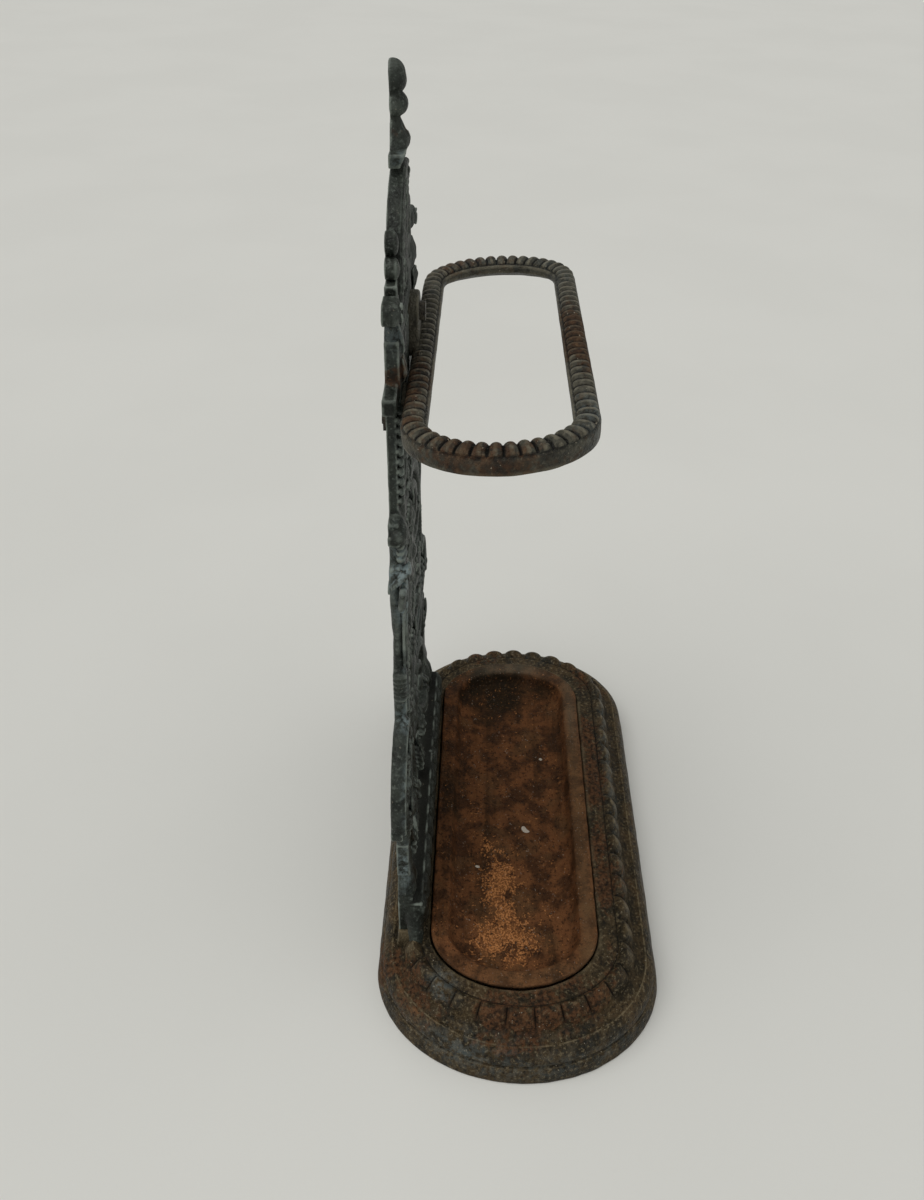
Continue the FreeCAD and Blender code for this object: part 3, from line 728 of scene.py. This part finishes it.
class Casting:
    """Half of a symmetrical casting, as distances to its surface on an even grid. Negative is iron."""

    def __init__(self, low, high, step):
        self.step = step
        self.low = np.array([step / 2, low[1], low[2]])
        self.axes = [np.arange(start, end + step, step) for start, end in zip(self.low, high)]
        self.field = np.full([len(axis) for axis in self.axes], FAR, np.float32)

    def window(self, low, high):
        """The part of the grid between two corners, with room for a fillet."""
        return tuple(slice(*np.searchsorted(axis, (start - FILLET_ROOM, end + FILLET_ROOM)))
                     for axis, start, end in zip(self.axes, low, high))

    def grid(self, window):
        x, y, z = (axis[part] for axis, part in zip(self.axes, window))
        return x[:, None, None], y[None, :, None], z[None, None, :]

    def join(self, window, distance, soft):
        """Add a shape, with a fillet about as wide as soft."""
        here = self.field[window]
        mix = np.clip(0.5 + 0.5 * (here - distance) / soft, 0, 1)
        self.field[window] = here + (distance - here) * mix - soft * mix * (1 - mix)

    def cut(self, window, distance, soft):
        """Take a shape away."""
        here = self.field[window]
        mix = np.clip(0.5 - 0.5 * (here + distance) / soft, 0, 1)
        self.field[window] = here + (-distance - here) * mix + soft * mix * (1 - mix)

    def join_rounded(self, window, gaps, corner, soft):
        """Add the shape inside three gaps, each the distance to a pair of its faces, with rounded edges."""
        gaps = [gap + corner for gap in gaps]
        outside = np.sqrt(sum(np.maximum(gap, 0) ** 2 for gap in gaps))
        inside = np.minimum(np.maximum(np.maximum(gaps[0], gaps[1]), gaps[2]), 0)
        self.join(window, outside + inside - corner, soft)

    def box(self, across, upright, front, corner=1.2, soft=1.2, back=PANEL_BACK):
        """A block with rounded edges: its reach across and up, and from front to back."""
        low = np.array([across[0], front, upright[0]], float)
        high = np.array([across[1], back, upright[1]], float)
        window = self.window(low, high)
        gaps = [np.abs(axis - (a + b) / 2) - (b - a) / 2 for axis, a, b in zip(self.grid(window), low, high)]
        self.join_rounded(window, gaps, corner, soft)

    def band(self, centre, radius, half_width, front, corner=1.0, soft=1.0):
        """The upper half of a flat ring with rounded edges, from a front plane to the back."""
        reach = radius + half_width
        window = self.window((0, front, centre[1]), (reach, BEHIND, centre[1] + reach))
        x, y, z = self.grid(window)
        away = np.hypot(x - centre[0], z - centre[1])
        gaps = [np.abs(away - radius) - half_width, np.abs(y - (front + BEHIND) / 2) - (BEHIND - front) / 2,
                centre[1] - z]
        self.join_rounded(window, gaps, corner, soft)

    def ball(self, centre, radii, soft=1.2):
        """An ellipsoid."""
        centre, radii = np.array(centre, float), np.broadcast_to(radii, 3).astype(float)
        window = self.window(centre - radii, centre + radii)
        offsets = [axis - middle for axis, middle in zip(self.grid(window), centre)]
        near = np.sqrt(sum((offset / radius) ** 2 for offset, radius in zip(offsets, radii))) + 1e-6
        slope = np.sqrt(sum((offset / radius ** 2) ** 2 for offset, radius in zip(offsets, radii))) + 1e-6
        self.join(window, near * (near - 1) / slope, soft)

    def stroke(self, points, radii, depth=1.0, soft=1.5, change=None):
        """A round bar along a line of points. Depth stretches its section from front to back.

        Change is self.cut where the bar is a groove.
        """
        points = np.array(points, float)
        radii = np.broadcast_to(radii, len(points)).astype(float)
        reach = radii.max() * max(depth, 1.0)
        whole = self.window(points.min(axis=0) - reach, points.max(axis=0) + reach)
        distance = np.full([part.stop - part.start for part in whole], FAR, np.float32)
        for first, last, start, end in zip(points[:-1], points[1:], radii[:-1], radii[1:]):
            window = self.window(np.minimum(first, last) - reach, np.maximum(first, last) + reach)
            scale = np.array([1.0, 1.0 / depth, 1.0])
            way = (last - first) * scale
            offset = [(axis - place) * factor for axis, place, factor in zip(self.grid(window), first, scale)]
            along = sum(part * step for part, step in zip(offset, way)) / max(way @ way, 1e-9)
            along = np.clip(along, 0, 1)
            away = np.sqrt(sum((part - step * along) ** 2 for part, step in zip(offset, way)))
            inner = tuple(slice(part.start - outer.start, part.stop - outer.start)
                          for part, outer in zip(window, whole))
            distance[inner] = np.minimum(distance[inner], away - start - (end - start) * along)
        (change or self.join)(whole, distance, soft)

    def flatten_back(self, level):
        """Everything stops at one flat plane at the back."""
        y = self.axes[1][None, :, None]
        self.field = np.maximum(self.field, y - level).astype(np.float32)

    def surface(self):
        """Points and faces of both halves together."""
        both = np.concatenate([self.field[::-1], self.field])
        grid = openvdb.FloatGrid(background=FAR)
        grid.copyFromArray(np.pad(both, 2, constant_values=FAR))
        points, triangles, quads = grid.convertToPolygons(isovalue=0.0, adaptivity=0.0)
        start = np.array([-self.axes[0][-1], self.low[1], self.low[2]]) - 2 * self.step
        return points * self.step + start, triangles.tolist() + quads.tolist()


def lower_relief(points):
    """Press the ornament back towards the plate, most of all near the middle and on the right half.

    The rail at the bottom and the finial on top keep their depth.
    """
    x, y, z = points.T
    lift = np.clip((z - 92.0) / 20.0, 0, 1) * np.clip((566.0 - z) / 10.0, 0, 1)
    side = 0.16 * np.clip((abs(x) - 50.0) / 20.0, 0, 1) + 0.1 * np.clip((abs(x) - 70.0) / 30.0, 0, 1)
    right = 0.2 * np.clip((x - 10.0) / 30.0, 0, 1)
    keep = 1 - lift * (0.44 - side + right)
    return np.stack([x, PANEL_BACK - (PANEL_BACK - y) * keep, z], axis=1)


def plane_points(x, z, y):
    return np.stack(np.broadcast_arrays(x, y, z), axis=-1)


def arc(centre, radii, first, last, count, y):
    """Points on an upright ellipse, between two angles in degrees."""
    angle = np.radians(np.linspace(first, last, count))
    return plane_points(centre[0] + radii[0] * np.cos(angle), centre[1] + radii[1] * np.sin(angle), y)


def volute(iron, centre, radius, start, turns, bar, eye):
    """A scroll: a grooved bar that winds in from a radius and an angle in degrees to a round eye."""
    count = int(abs(turns) * 26) + 2
    part = np.linspace(0, 1, count)
    angle = math.radians(start) + 2 * math.pi * turns * part
    reach = (radius - bar) * (1 - part) ** 0.85 + eye * 0.9 * part
    x = centre[0] + reach * np.cos(angle)
    z = centre[1] + reach * np.sin(angle)
    y = BAR_MIDDLE - 1.5 * part
    thickness = bar - 1.6 * part
    iron.stroke(plane_points(x, z, y), thickness, depth=1.35)
    groove = plane_points(x, z, y - 1.35 * thickness - 0.4)[: int(count * 0.86)]
    iron.stroke(groove, 1.5, soft=1.0, change=iron.cut)
    iron.ball((x[-1], 81.0, z[-1]), (eye, 6.4, eye))


def leaf(iron, root, tip, width, lobes=4, front=77.0):
    """A lobed leaf with a rib down its middle. Its tip curls towards the front."""
    root, tip = np.array(root, float), np.array(tip, float)
    ahead = tip - root
    length = np.hypot(*ahead)
    ahead = ahead / length
    aside = np.array([-ahead[1], ahead[0]])
    part = np.linspace(0, 1, 7)
    line = root + np.outer(part, ahead * length)
    depth = 84.0 - (84.0 - front) * np.sin(part * math.pi * 0.62)
    iron.stroke(plane_points(line[:, 0], line[:, 1], depth), 2.6 - 1.2 * part, soft=0.9)
    for number in range(lobes):
        place = 0.06 + 0.74 * number / lobes
        reach = width * (0.72 + 0.5 * math.sin(math.pi * (0.15 + place))) * (1 - 0.45 * place)
        for side in (-1, 1):
            start = root + ahead * length * place
            bend = start + (ahead * 0.25 + aside * side * 0.62) * reach
            end = start + (ahead * 0.78 + aside * side * 0.86) * reach
            back = BAR_MIDDLE - (BAR_MIDDLE - front) * 0.55 * math.sin(math.pi * (0.2 + place * 0.7))
            x, z = np.stack([start, bend, end], axis=1)
            path = plane_points(x, z, np.array([back, back - 0.6, back + 0.6]))
            iron.stroke(path, (1.7, 2.5, 1.5), depth=1.25, soft=0.9)


def fan(iron, root, reach, spread, count, width, front):
    """A palmette: long drop-shaped lobes fanned out from one root. Angles are degrees from upright."""
    for number in range(count):
        angle = math.radians(-spread + 2 * spread * number / (count - 1))
        if angle < -0.02:
            continue
        size = reach * (0.74 + 0.26 * math.cos(angle))
        path = [(root[0] + size * t * math.sin(angle), BAR_MIDDLE - (BAR_MIDDLE - front) * 0.8 * t,
                 root[1] + size * t * math.cos(angle)) for t in (0.1, 0.55, 0.86)]
        iron.stroke(path, (1.6, width * 0.72, width), depth=0.95, soft=0.8)


def rosette(iron, centre, radius, petals, front):
    """Round petals about a domed middle, on a disc."""
    iron.stroke([(centre[0], 88.0, centre[1]), (centre[0], 83.5, centre[1])], radius * 0.86, depth=0.3)
    for number in range(petals):
        angle = 2 * math.pi * (number + 0.5) / petals
        path = [(centre[0] + radius * t * math.cos(angle), 80.5 + 1.5 * abs(t - 0.6),
                 centre[1] + radius * t * math.sin(angle)) for t in (0.25, 0.74)]
        iron.stroke(path, (1.4, radius * 1.9 / petals), depth=0.9, soft=0.7)
    iron.ball((centre[0], 80.5, centre[1]), (radius * 0.3, 80.5 - front, radius * 0.3), soft=0.7)


def beads(iron, points, radius, soft=0.6):
    """A row of pearls."""
    for point in points:
        iron.ball(point, radius, soft=soft)


def ring(iron, centre, radius, bar, first=0, last=360, depth=1.3, y=BAR_MIDDLE, soft=1.5):
    """An arc of a round bar, between two angles in degrees."""
    count = max(int(abs(last - first) / 9), 4)
    iron.stroke(arc(centre, (radius, radius), first, last, count, y), bar, depth=depth, soft=soft)


def carve_foot(iron):
    """The tongues down the front of the foot rail, and the reeded and leafy pedestals on it."""
    for x in np.arange(9.3, 124, 18.6):
        iron.stroke([(x, 72.4, 66.6), (x, 72, 57)], (8, 7.6), depth=0.52, soft=0.3)
    for x in (104, 108.5, 113, 117.5):
        iron.stroke([(x, 84.5, 134), (x, 84.5, 172)], 3.3, depth=1.6, soft=0.8)
    leaf(iron, (111, 136), (111, 172), 8, front=76.5)
    iron.stroke([(107, 85, 83), (108, 85, 101)], (9, 5.5), depth=0.9)
    iron.stroke([(117, 85, 83), (114, 85, 101)], (9, 6), depth=0.9)


def carve_wings(iron):
    """The curved shoulders over the pedestals, each a scroll inside a quarter of an oval."""
    middle = (104, 180)
    iron.stroke(arc(middle, (42.6, 53), 98, -2, 24, 85), 4.4, depth=1.25)
    iron.stroke(arc(middle, (43, 53.5), 98, -2, 24, 79.2), 1.5, soft=0.8)
    iron.box((98, 151), (174.2, 180.5), 80.4, corner=1)
    for part in np.linspace(0.15, 0.85, 8):
        iron.stroke(arc(middle, (42 * part, 53 * part), 90, 0, 10, 88), 3.4, depth=0.9)
    volute(iron, (121, 201), 24, 250, 1.35, bar=3.8, eye=5)
    leaf(iron, (104, 186), (112, 228), 9, lobes=5)


def carve_scrollwork(iron):
    """The pierced middle of the panel: posts, bars, scrolls, leaves and rosettes."""
    for half, low, high in ((8, 70, 132), (7, 190, 280), (7, 318, 382), (8, 410, 450)):
        iron.box((-9, half), (low, high), 82.5)
    for low, high in ((84, 118), (206, 240), (322, 348), (412, 438)):
        leaf(iron, (0, low), (0, high), 9, lobes=5, front=76)

    ring(iron, (0, 160), 30.5, 5.2)
    beads(iron, arc((0, 160), (23.2, 23.2), -90, 90, 21, 82), 1.9)
    rosette(iron, (0, 160), 20, 8, front=74.5)

    volute(iron, (64, 120), 46, 200, -1.7, bar=5.4, eye=7.5)
    leaf(iron, (30, 88), (48, 116), 8)
    leaf(iron, (92, 88), (78, 112), 7, lobes=3)
    leaf(iron, (40, 160), (62, 176), 7)
    volute(iron, (55, 208), 37, 150, 1.6, bar=5, eye=6.5)
    leaf(iron, (22, 196), (44, 190), 6, lobes=3)
    leaf(iron, (80, 232), (66, 214), 6, lobes=3)
    iron.stroke([(26, 86, 176), (40, 86, 172), (60, 86, 170)], 4, depth=1.2)
    iron.stroke([(88, 86, 152), (98, 86, 166), (102, 86, 178)], 4.4, depth=1.2)
    iron.stroke([(86, 86, 186), (92, 86, 200), (90, 86, 214)], 4.4, depth=1.2)

    iron.box((-2, 92), (243, 253), 81, corner=2.4)
    beads(iron, [(x, 80.4, 248) for x in np.arange(3.6, 90, 7.2)], (2.8, 3, 2.8))

    volute(iron, (51, 300), 41, 105, -1.75, bar=5.2, eye=7.5)
    leaf(iron, (20, 334), (44, 326), 7)
    leaf(iron, (16, 262), (46, 276), 7)
    leaf(iron, (84, 282), (70, 300), 6, lobes=3)
    rosette(iron, (0, 300), 24, 10, front=73)
    ring(iron, (0, 300), 11, 1.6, depth=1, y=80, soft=0.6)

    iron.box((-2, 90), (352, 364), 80.5, corner=2.6)
    for x in np.arange(4.5, 88, 9):
        iron.stroke([(x - 3, 80, 355.5), (x + 3, 79.4, 360.5)], (1.6, 2.4), soft=0.6)

    volute(iron, (43, 397), 41, 250, 1.7, bar=5.2, eye=7.5)
    leaf(iron, (14, 428), (36, 420), 6)
    leaf(iron, (12, 368), (38, 374), 6)
    rosette(iron, (0, 397), 20, 8, front=74.5)


def carve_stems(iron):
    """The uprights at the sides: a ribbed pad, a stem in a sheath of leaves and a slanting leafy cuff."""
    stem = [(96, 86, 178), (94.5, 86, 243), (91, 86, 298), (94, 86, 332)]
    iron.stroke(stem, (6.6, 7, 4.2, 7), depth=0.8)
    iron.stroke([(93, 80, 240), (90, 79.6, 298), (93, 79, 340)], (2.2, 1.6, 2.8), soft=0.8)
    iron.stroke([(98.5, 81, 240), (93.5, 81, 300), (99, 80, 338)], (1.6, 1.1, 2.4), soft=0.8)
    for z in np.arange(255.5, 275, 3.6):
        iron.stroke([(91, 84.5, z), (100, 84.5, z - 1)], (3, 3.3), depth=1.7, soft=0.7)
    for number in range(5):
        x = 88 + 4.2 * number
        iron.stroke([(92, 84, 318), (x, 81, 332), (x + 1.2, 79.5, 343)], (1.4, 2.4, 2.8), soft=0.7)
    # The cuff: a slanting row of small curled lobes, low at the back and high at the front.
    for number in range(9):
        t = number / 8
        iron.ball((103.5 - 7 * t, 89 - 13.5 * t, 345.5 + 8 * t), (6.4, 2, 3.6), soft=0.8)
    iron.box((80, 101), (346, 356), 80, corner=3)
    iron.stroke([(88, 84.5, 350), (87, 84.5, 378)], (6, 6.6), depth=1.05)
    for z in (359.5, 364, 368.5):
        iron.stroke([(88, 79.2, z), (95, 81.5, z)], (2.2, 2.6), depth=1.2, soft=0.7)
    iron.ball((91.5, 82.5, 375.5), (8.5, 7.2, 5.6))


def carve_pilasters(iron):
    """The uprights beside the hoop, with husks of leaves down their fronts, their caps and their urns."""
    iron.box((54, 84), (378, 456), 82.8, corner=0.8, soft=0.8)
    iron.box((67, 99.5), (370, 376.5), 81.2, corner=1.4)
    iron.box((67, 96), (376, 383), 82, corner=1.4)
    for x in (55.5, 60.5, 65.5, 70.5):
        iron.stroke([(x, 82.4, 384), (x, 80.6, 400), (x, 80.6, 452)], 1.7, depth=1.3, soft=0.4)
    for low in np.arange(385, 446, 6.4):
        husk = [(75, 82.4, low), (79.5, 80.6, low + 4.4), (82.6, 83, low + 6.4)]
        iron.stroke(husk, (1.6, 2.7, 1.7), depth=1.1, soft=0.5)
    iron.box((64, 102), (453.5, 463), 80.6, corner=1.3)
    iron.box((66, 90), (450, 455), 82, corner=1.2)
    iron.stroke([(68, 85, 459), (69.5, 85, 465.5), (68, 85, 472)], (8, 9.4, 7), depth=0.96, soft=0.5)
    for side in (-1, 0, 1, 2):
        iron.stroke([(66 + side * 3, 77, 461), (67 + side * 4, 75.8, 466), (66 + side * 3, 77.6, 472)],
                    (1.2, 1.9, 1.2), soft=0.5)
    iron.stroke([(69, 85, 480), (68.5, 85.5, 485.5), (66.5, 86, 493)], (9.6, 8, 4.4), depth=0.98, soft=0.5)
    iron.stroke([(73, 76.8, 478), (74, 77.6, 484), (71, 80.4, 491)], (1.6, 1.6, 1.2), soft=0.4)
    iron.box((69, 88.2), (495.2, 507.2), 77.4, corner=5.2, soft=0.5, back=PANEL_BACK + 8)
    ring(iron, (80, 501.2), 3.8, 1.3, first=60, last=360, depth=1, y=77, soft=0.4)
    iron.box((42, 68), (474, 510), 80, corner=1.2)
    iron.stroke([(58.4, 96, 516), (58.4, 82, 516)], 5.6, depth=0.8, soft=0.3)
    iron.stroke([(52, 96, 526.6), (52, 82.6, 526.6)], 6.2, depth=0.8, soft=0.3)


def carve_hoop_plate(iron):
    """The plate that the hoop is bolted to, reeded between raised edges."""
    iron.box((-2, 51), (426, 485), 76.1, corner=1.4)
    iron.box((49, 79.5), (426, 485), 79.2, corner=1.4)
    for level, end in ((429, 76), (482, 60)):
        iron.stroke([(-4, 76.6, level), (50, 76.6, level), (end, 79.6, level)], 2.2, soft=0.6)
    for x in np.arange(19, 48, 6):
        iron.stroke([(x, 76.5, 436), (x, 76.5, 475)], 2.2, soft=0.5)


def carve_crest(iron):
    """The arch over the hoop, the palmette in it and the finial on top."""
    iron.box((-2, 60), (478, 496), 82, corner=1.2)
    middle = (0, 500.5)
    iron.band(middle, 47.3, 6.4, 75.8, corner=0.8)
    ring(iron, middle, 51.8, 1.4, first=0, last=90, depth=1, y=75.6, soft=0.4)
    ring(iron, middle, 43.2, 1.4, first=0, last=90, depth=1, y=76, soft=0.4)
    beads(iron, arc(middle, (47.3, 47.3), 9, 75.5, 8, 75.8), (2.4, 2.8, 2.4), soft=0.4)
    fan(iron, (0, 484), 50, 78, 9, width=4.6, front=79)
    rosette(iron, (0, 492), 10, 6, front=77)

    iron.box((-2, 21), (554.6, 561.8), 78.4, corner=1.8, soft=0.6, back=BEHIND)
    iron.stroke([(0, 88.6, 562), (0, 88.8, 576)], (11.2, 4.4), depth=0.9, soft=0.5)
    iron.stroke([(0, 80.4, 562), (0, 81.4, 568)], (2.2, 1.2), soft=1.2)
    iron.ball((0, 87.6, 582), (7.4, 7.2, 6.6), soft=0.4)
    iron.stroke([(0, 88.2, 589.6), (0, 87.6, 593.2), (0, 87.9, 596.2)], (5.2, 7, 6.8), depth=0.95, soft=0.4)


def make_panel():
    """The upright back: a pierced casting, flat behind, with all its ornament in relief in front."""
    step = 0.8
    iron = Casting((0, 64.0, 31.0), (156.0, 97.0, 606.0), step)
    carve_scrollwork(iron)
    carve_wings(iron)
    carve_stems(iron)
    carve_hoop_plate(iron)
    carve_pilasters(iron)
    carve_crest(iron)
    carve_foot(iron)
    iron.box((-9, 127.6), (34, 75), 72.0, corner=1.2, soft=1.0, back=93.0)
    iron.stroke([(122, 78.6, 66), (129, 77.6, 52), (135.5, 76.6, 42)], (7.2, 6.2, 5.0), soft=1.5)
    iron.box((104, 126.5), (75, 80.0), 79.0, corner=1.6, soft=2.5, back=93.0)
    iron.box((104, 122.6), (101, 134), 79.5, corner=1.3, soft=0.8, back=93.0)
    iron.flatten_back(PANEL_BACK)
    points, faces = iron.surface()
    panel = make_mesh("back_panel_visual", lower_relief(points), faces)
    roughen(panel, 0.16, 16.0, seed=4)
    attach(panel, "stand")
    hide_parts("back_panel")
    panel.data.materials.append(panel_material())
    return panel


# ---- stage, camera and lights

FLOOR_REACH = 6000
CAMERA_PLACE = (-0.5676, 0.0396, 0.6952)     # metres
PITCH, ROLL, YAW = 0.657, 0.015, 0.016       # radians
LENS, SENSOR = 30.0, 36.0
SUN_COLOUR = (1.0, 0.985, 0.955)
SURROUND = (1.0, 0.99, 0.96, 1)


def make_stage():
    corners = [(x * FLOOR_REACH, y * FLOOR_REACH, 0) for x, y in ((-1, -1), (1, -1), (1, 1), (-1, 1))]
    floor = make_mesh("floor", corners, [(0, 1, 2, 3)])
    floor.data.materials.append(floor_material())


def make_camera():
    """Above the left end of the base, looking along it and down."""
    ahead = Vector((math.cos(YAW), math.sin(YAW), 0))
    right = Vector((math.sin(YAW), -math.cos(YAW), 0))
    up = Vector((0, 0, 1))
    view = ahead * math.cos(PITCH) - up * math.sin(PITCH)
    above = up * math.cos(PITCH) + ahead * math.sin(PITCH)
    side = right * math.cos(ROLL) + above * math.sin(ROLL)
    top = -right * math.sin(ROLL) + above * math.cos(ROLL)
    camera = add_object("camera", bpy.data.cameras.new("camera"))
    camera.data.lens = LENS
    camera.data.sensor_width = SENSOR
    camera.matrix_world = Matrix.Translation(CAMERA_PLACE) @ Matrix((side, top, -view)).transposed().to_4x4()
    bpy.context.scene.camera = camera


def make_sun(name, power, spread, towards):
    """A very wide, soft light from far away. Spread is degrees."""
    light = add_object(name, bpy.data.lights.new(name, "SUN"))
    light.data.energy = power
    light.data.angle = math.radians(spread)
    light.data.color = SUN_COLOUR
    light.rotation_mode = "QUATERNION"
    light.rotation_quaternion = Vector(towards).to_track_quat("-Z", "Y")


def make_lights():
    """A soft light from high behind, a weaker one from the front and a pale surround."""
    make_sun("overhead", 1.5, 62, (0.25, -0.5, -1.0))
    make_sun("front", 0.34, 80, (0.35, 0.8, -0.7))
    world = bpy.data.worlds.new("world")
    bpy.context.scene.world = world
    world.use_nodes = True
    surround = world.node_tree.nodes["Background"]
    surround.inputs["Color"].default_value = SURROUND
    surround.inputs["Strength"].default_value = 0.34
    bpy.context.scene.view_settings.view_transform = "Standard"


def dress_zones(base, tray, hoop, panel):
    """Where rust, scale, patina, grime and painted light and shade lie on each casting: the pale patina is
    partly a painted highlight, the grime along the panel's foot partly a painted shadow, and one strip of
    tray scale a painted shadow. Wobble says how uneven they are.
    """
    for thing, zone, wobble, spots in (
        (base, "rust", 0.4, [
            (0, -66, 44, 260, 9, 8, 0.5), (-185, -10, 40, 34, 60, 12, 0.8),
            (-150, 90, 20, 40, 30, 20, 0.3)]),
        # Pale patina; on the near band's left side it is a painted highlight where that face meets the light.
        (base, "bloom_and_highlight", 0, [
            (-205, 0, 14, 36, 120, 12, 0.2), (-208, 55, 22, 14, 34, 9, 0.25), (60, -84, 40, 120, 8, 8, 0.35),
            (205, 0, 40, 26, 90, 14, 0.22), (-172, 57, 42, 12, 10, 6, 0.5)]),
        # Scale; the long strip along the side next to the panel is painted shadow.
        (tray, "scale", 0.4, [
            (165, 20, 34, 48, 70, 20, 0.85), (60, 34, 34, 60, 14, 20, 0.2), (-60, -46, 36, 90, 5, 6, 0.25),
            (0, 56, 42, 170, 9, 12, 0.5)]),
        (tray, "loose", 0.5, [
            (-68, 14, 34, 20, 13, 6, 0.75), (-128, 6, 34, 22, 20, 6, 0.8), (-38, 26, 34, 13, 8, 6, 0.5),
            (-92, 14, 34, 26, 14, 6, 0.45), (-125, 30, 34, 20, 10, 6, 0.3)]),
        # The paler rim is left off the side next to the panel, which stays darker as painted shadow.
        (tray, "rim", 0, [
            (0, -51, 47, 400, 7, 2.5, 1), (166, -4, 47, 16, 52, 2.5, 1), (-166, -4, 47, 16, 52, 2.5, 0.6)]),
        (tray, "grey", 0, [
            (170, 10, 47, 40, 60, 20, 1), (110, -54, 47, 40, 12, 20, 0.7)]),
        (tray, "chip", 0, [
            (-21, -6, 34, 2.6, 2, 4, 1.2), (-24, -8.5, 34, 1.8, 2.6, 4, 1.1), (-61, 32, 34, 1.6, 2.4, 4, 1),
            (58, -23, 34, 2, 1.8, 4, 1)]),
        (hoop, "rust", 0.4, [
            (-20, -18, 458, 62, 16, 16, 0.75), (-148, 30, 450, 24, 60, 14, 0.3),
            (-60, 76, 455, 60, 14, 14, 0.45)]),
        (hoop, "bloom_and_highlight", 0, [
            (-105, -16, 458, 20, 16, 10, 0.4), (100, 30, 458, 40, 60, 10, 0.25)]),
        (panel, "rust", 0.4, [
            (0, 86, 568, 12, 14, 7, 1.1), (-62, 86, 468, 18, 14, 8, 0.45), (0, 84, 472, 20, 10, 16, 0.5),
            (-94, 86, 366, 12, 10, 5, 0.35), (-130, 80, 56, 8, 12, 18, 0.8),
            (-80, 84, 465, 16, 12, 9, 0.5)]),
        # Grime and painted shadow on the rail top, which the panel shades.
        (panel, "dirt_and_shade", 0, [
            (0, 77, 75, 260, 9, 2.5, 1), (-128, 79, 58, 6, 9, 14, 0.5)]),
        # Grime and painted shade on the base in front of the rail.
        (base, "dirt_and_shade", 0, [
            (0, 66, 43, 128, 9, 5, 0.6)]),
        # Pale patina, which on the pedestals, stems, cuffs and knobs is a painted highlight.
        (panel, "bloom_and_highlight", 0, [
            (-99, 80, 351, 15, 14, 8, 1.6), (-96, 81, 325, 9, 6, 18, 1), (-103, 82, 230, 8, 8, 16, 1.3),
            (-97, 79, 285, 4, 4, 40, 0.7), (-98, 82, 362, 8, 8, 5, 0.8), (-72, 82, 486, 10, 9, 8, 0.5),
            (-123, 84, 112, 6, 9, 20, 1), (-20, 82, 560, 8, 8, 5, 0.6), (-142, 78, 205, 14, 4, 36, 1),
            (-84, 80, 410, 4, 4, 24, 0.7), (-104, 82, 385, 10, 10, 5, 0.5), (108, 84, 348, 12, 12, 6, 0.7),
            (60, 84, 200, 60, 10, 60, 0.2)]),
    ):
        paint_zone(thing, zone, spots, wobble)


def dress_fasteners():
    """The bolts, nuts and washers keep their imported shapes."""
    for thing in bpy.context.scene.objects:
        if thing.name.startswith(("hoop_bolt", "hoop_nut", "foot_bolt", "foot_washer")):
            for slot in thing.material_slots:
                slot.material = fastener_material()


make_camera()
make_stage()
make_lights()
base = make_base()
make_rail_seat()
tray = make_tray()
hoop = make_hoop()
panel = make_panel()
for name, x, level, radius in (("centre", 0.0, 471.0, 12.0), ("left", -62.0, 432.5, 10.0),
                               ("right", 62.0, 432.5, 10.0)):
    make_lug("hoop_lug_" + name, x, level, radius)
dress_zones(base, tray, hoop, panel)
dress_fasteners()
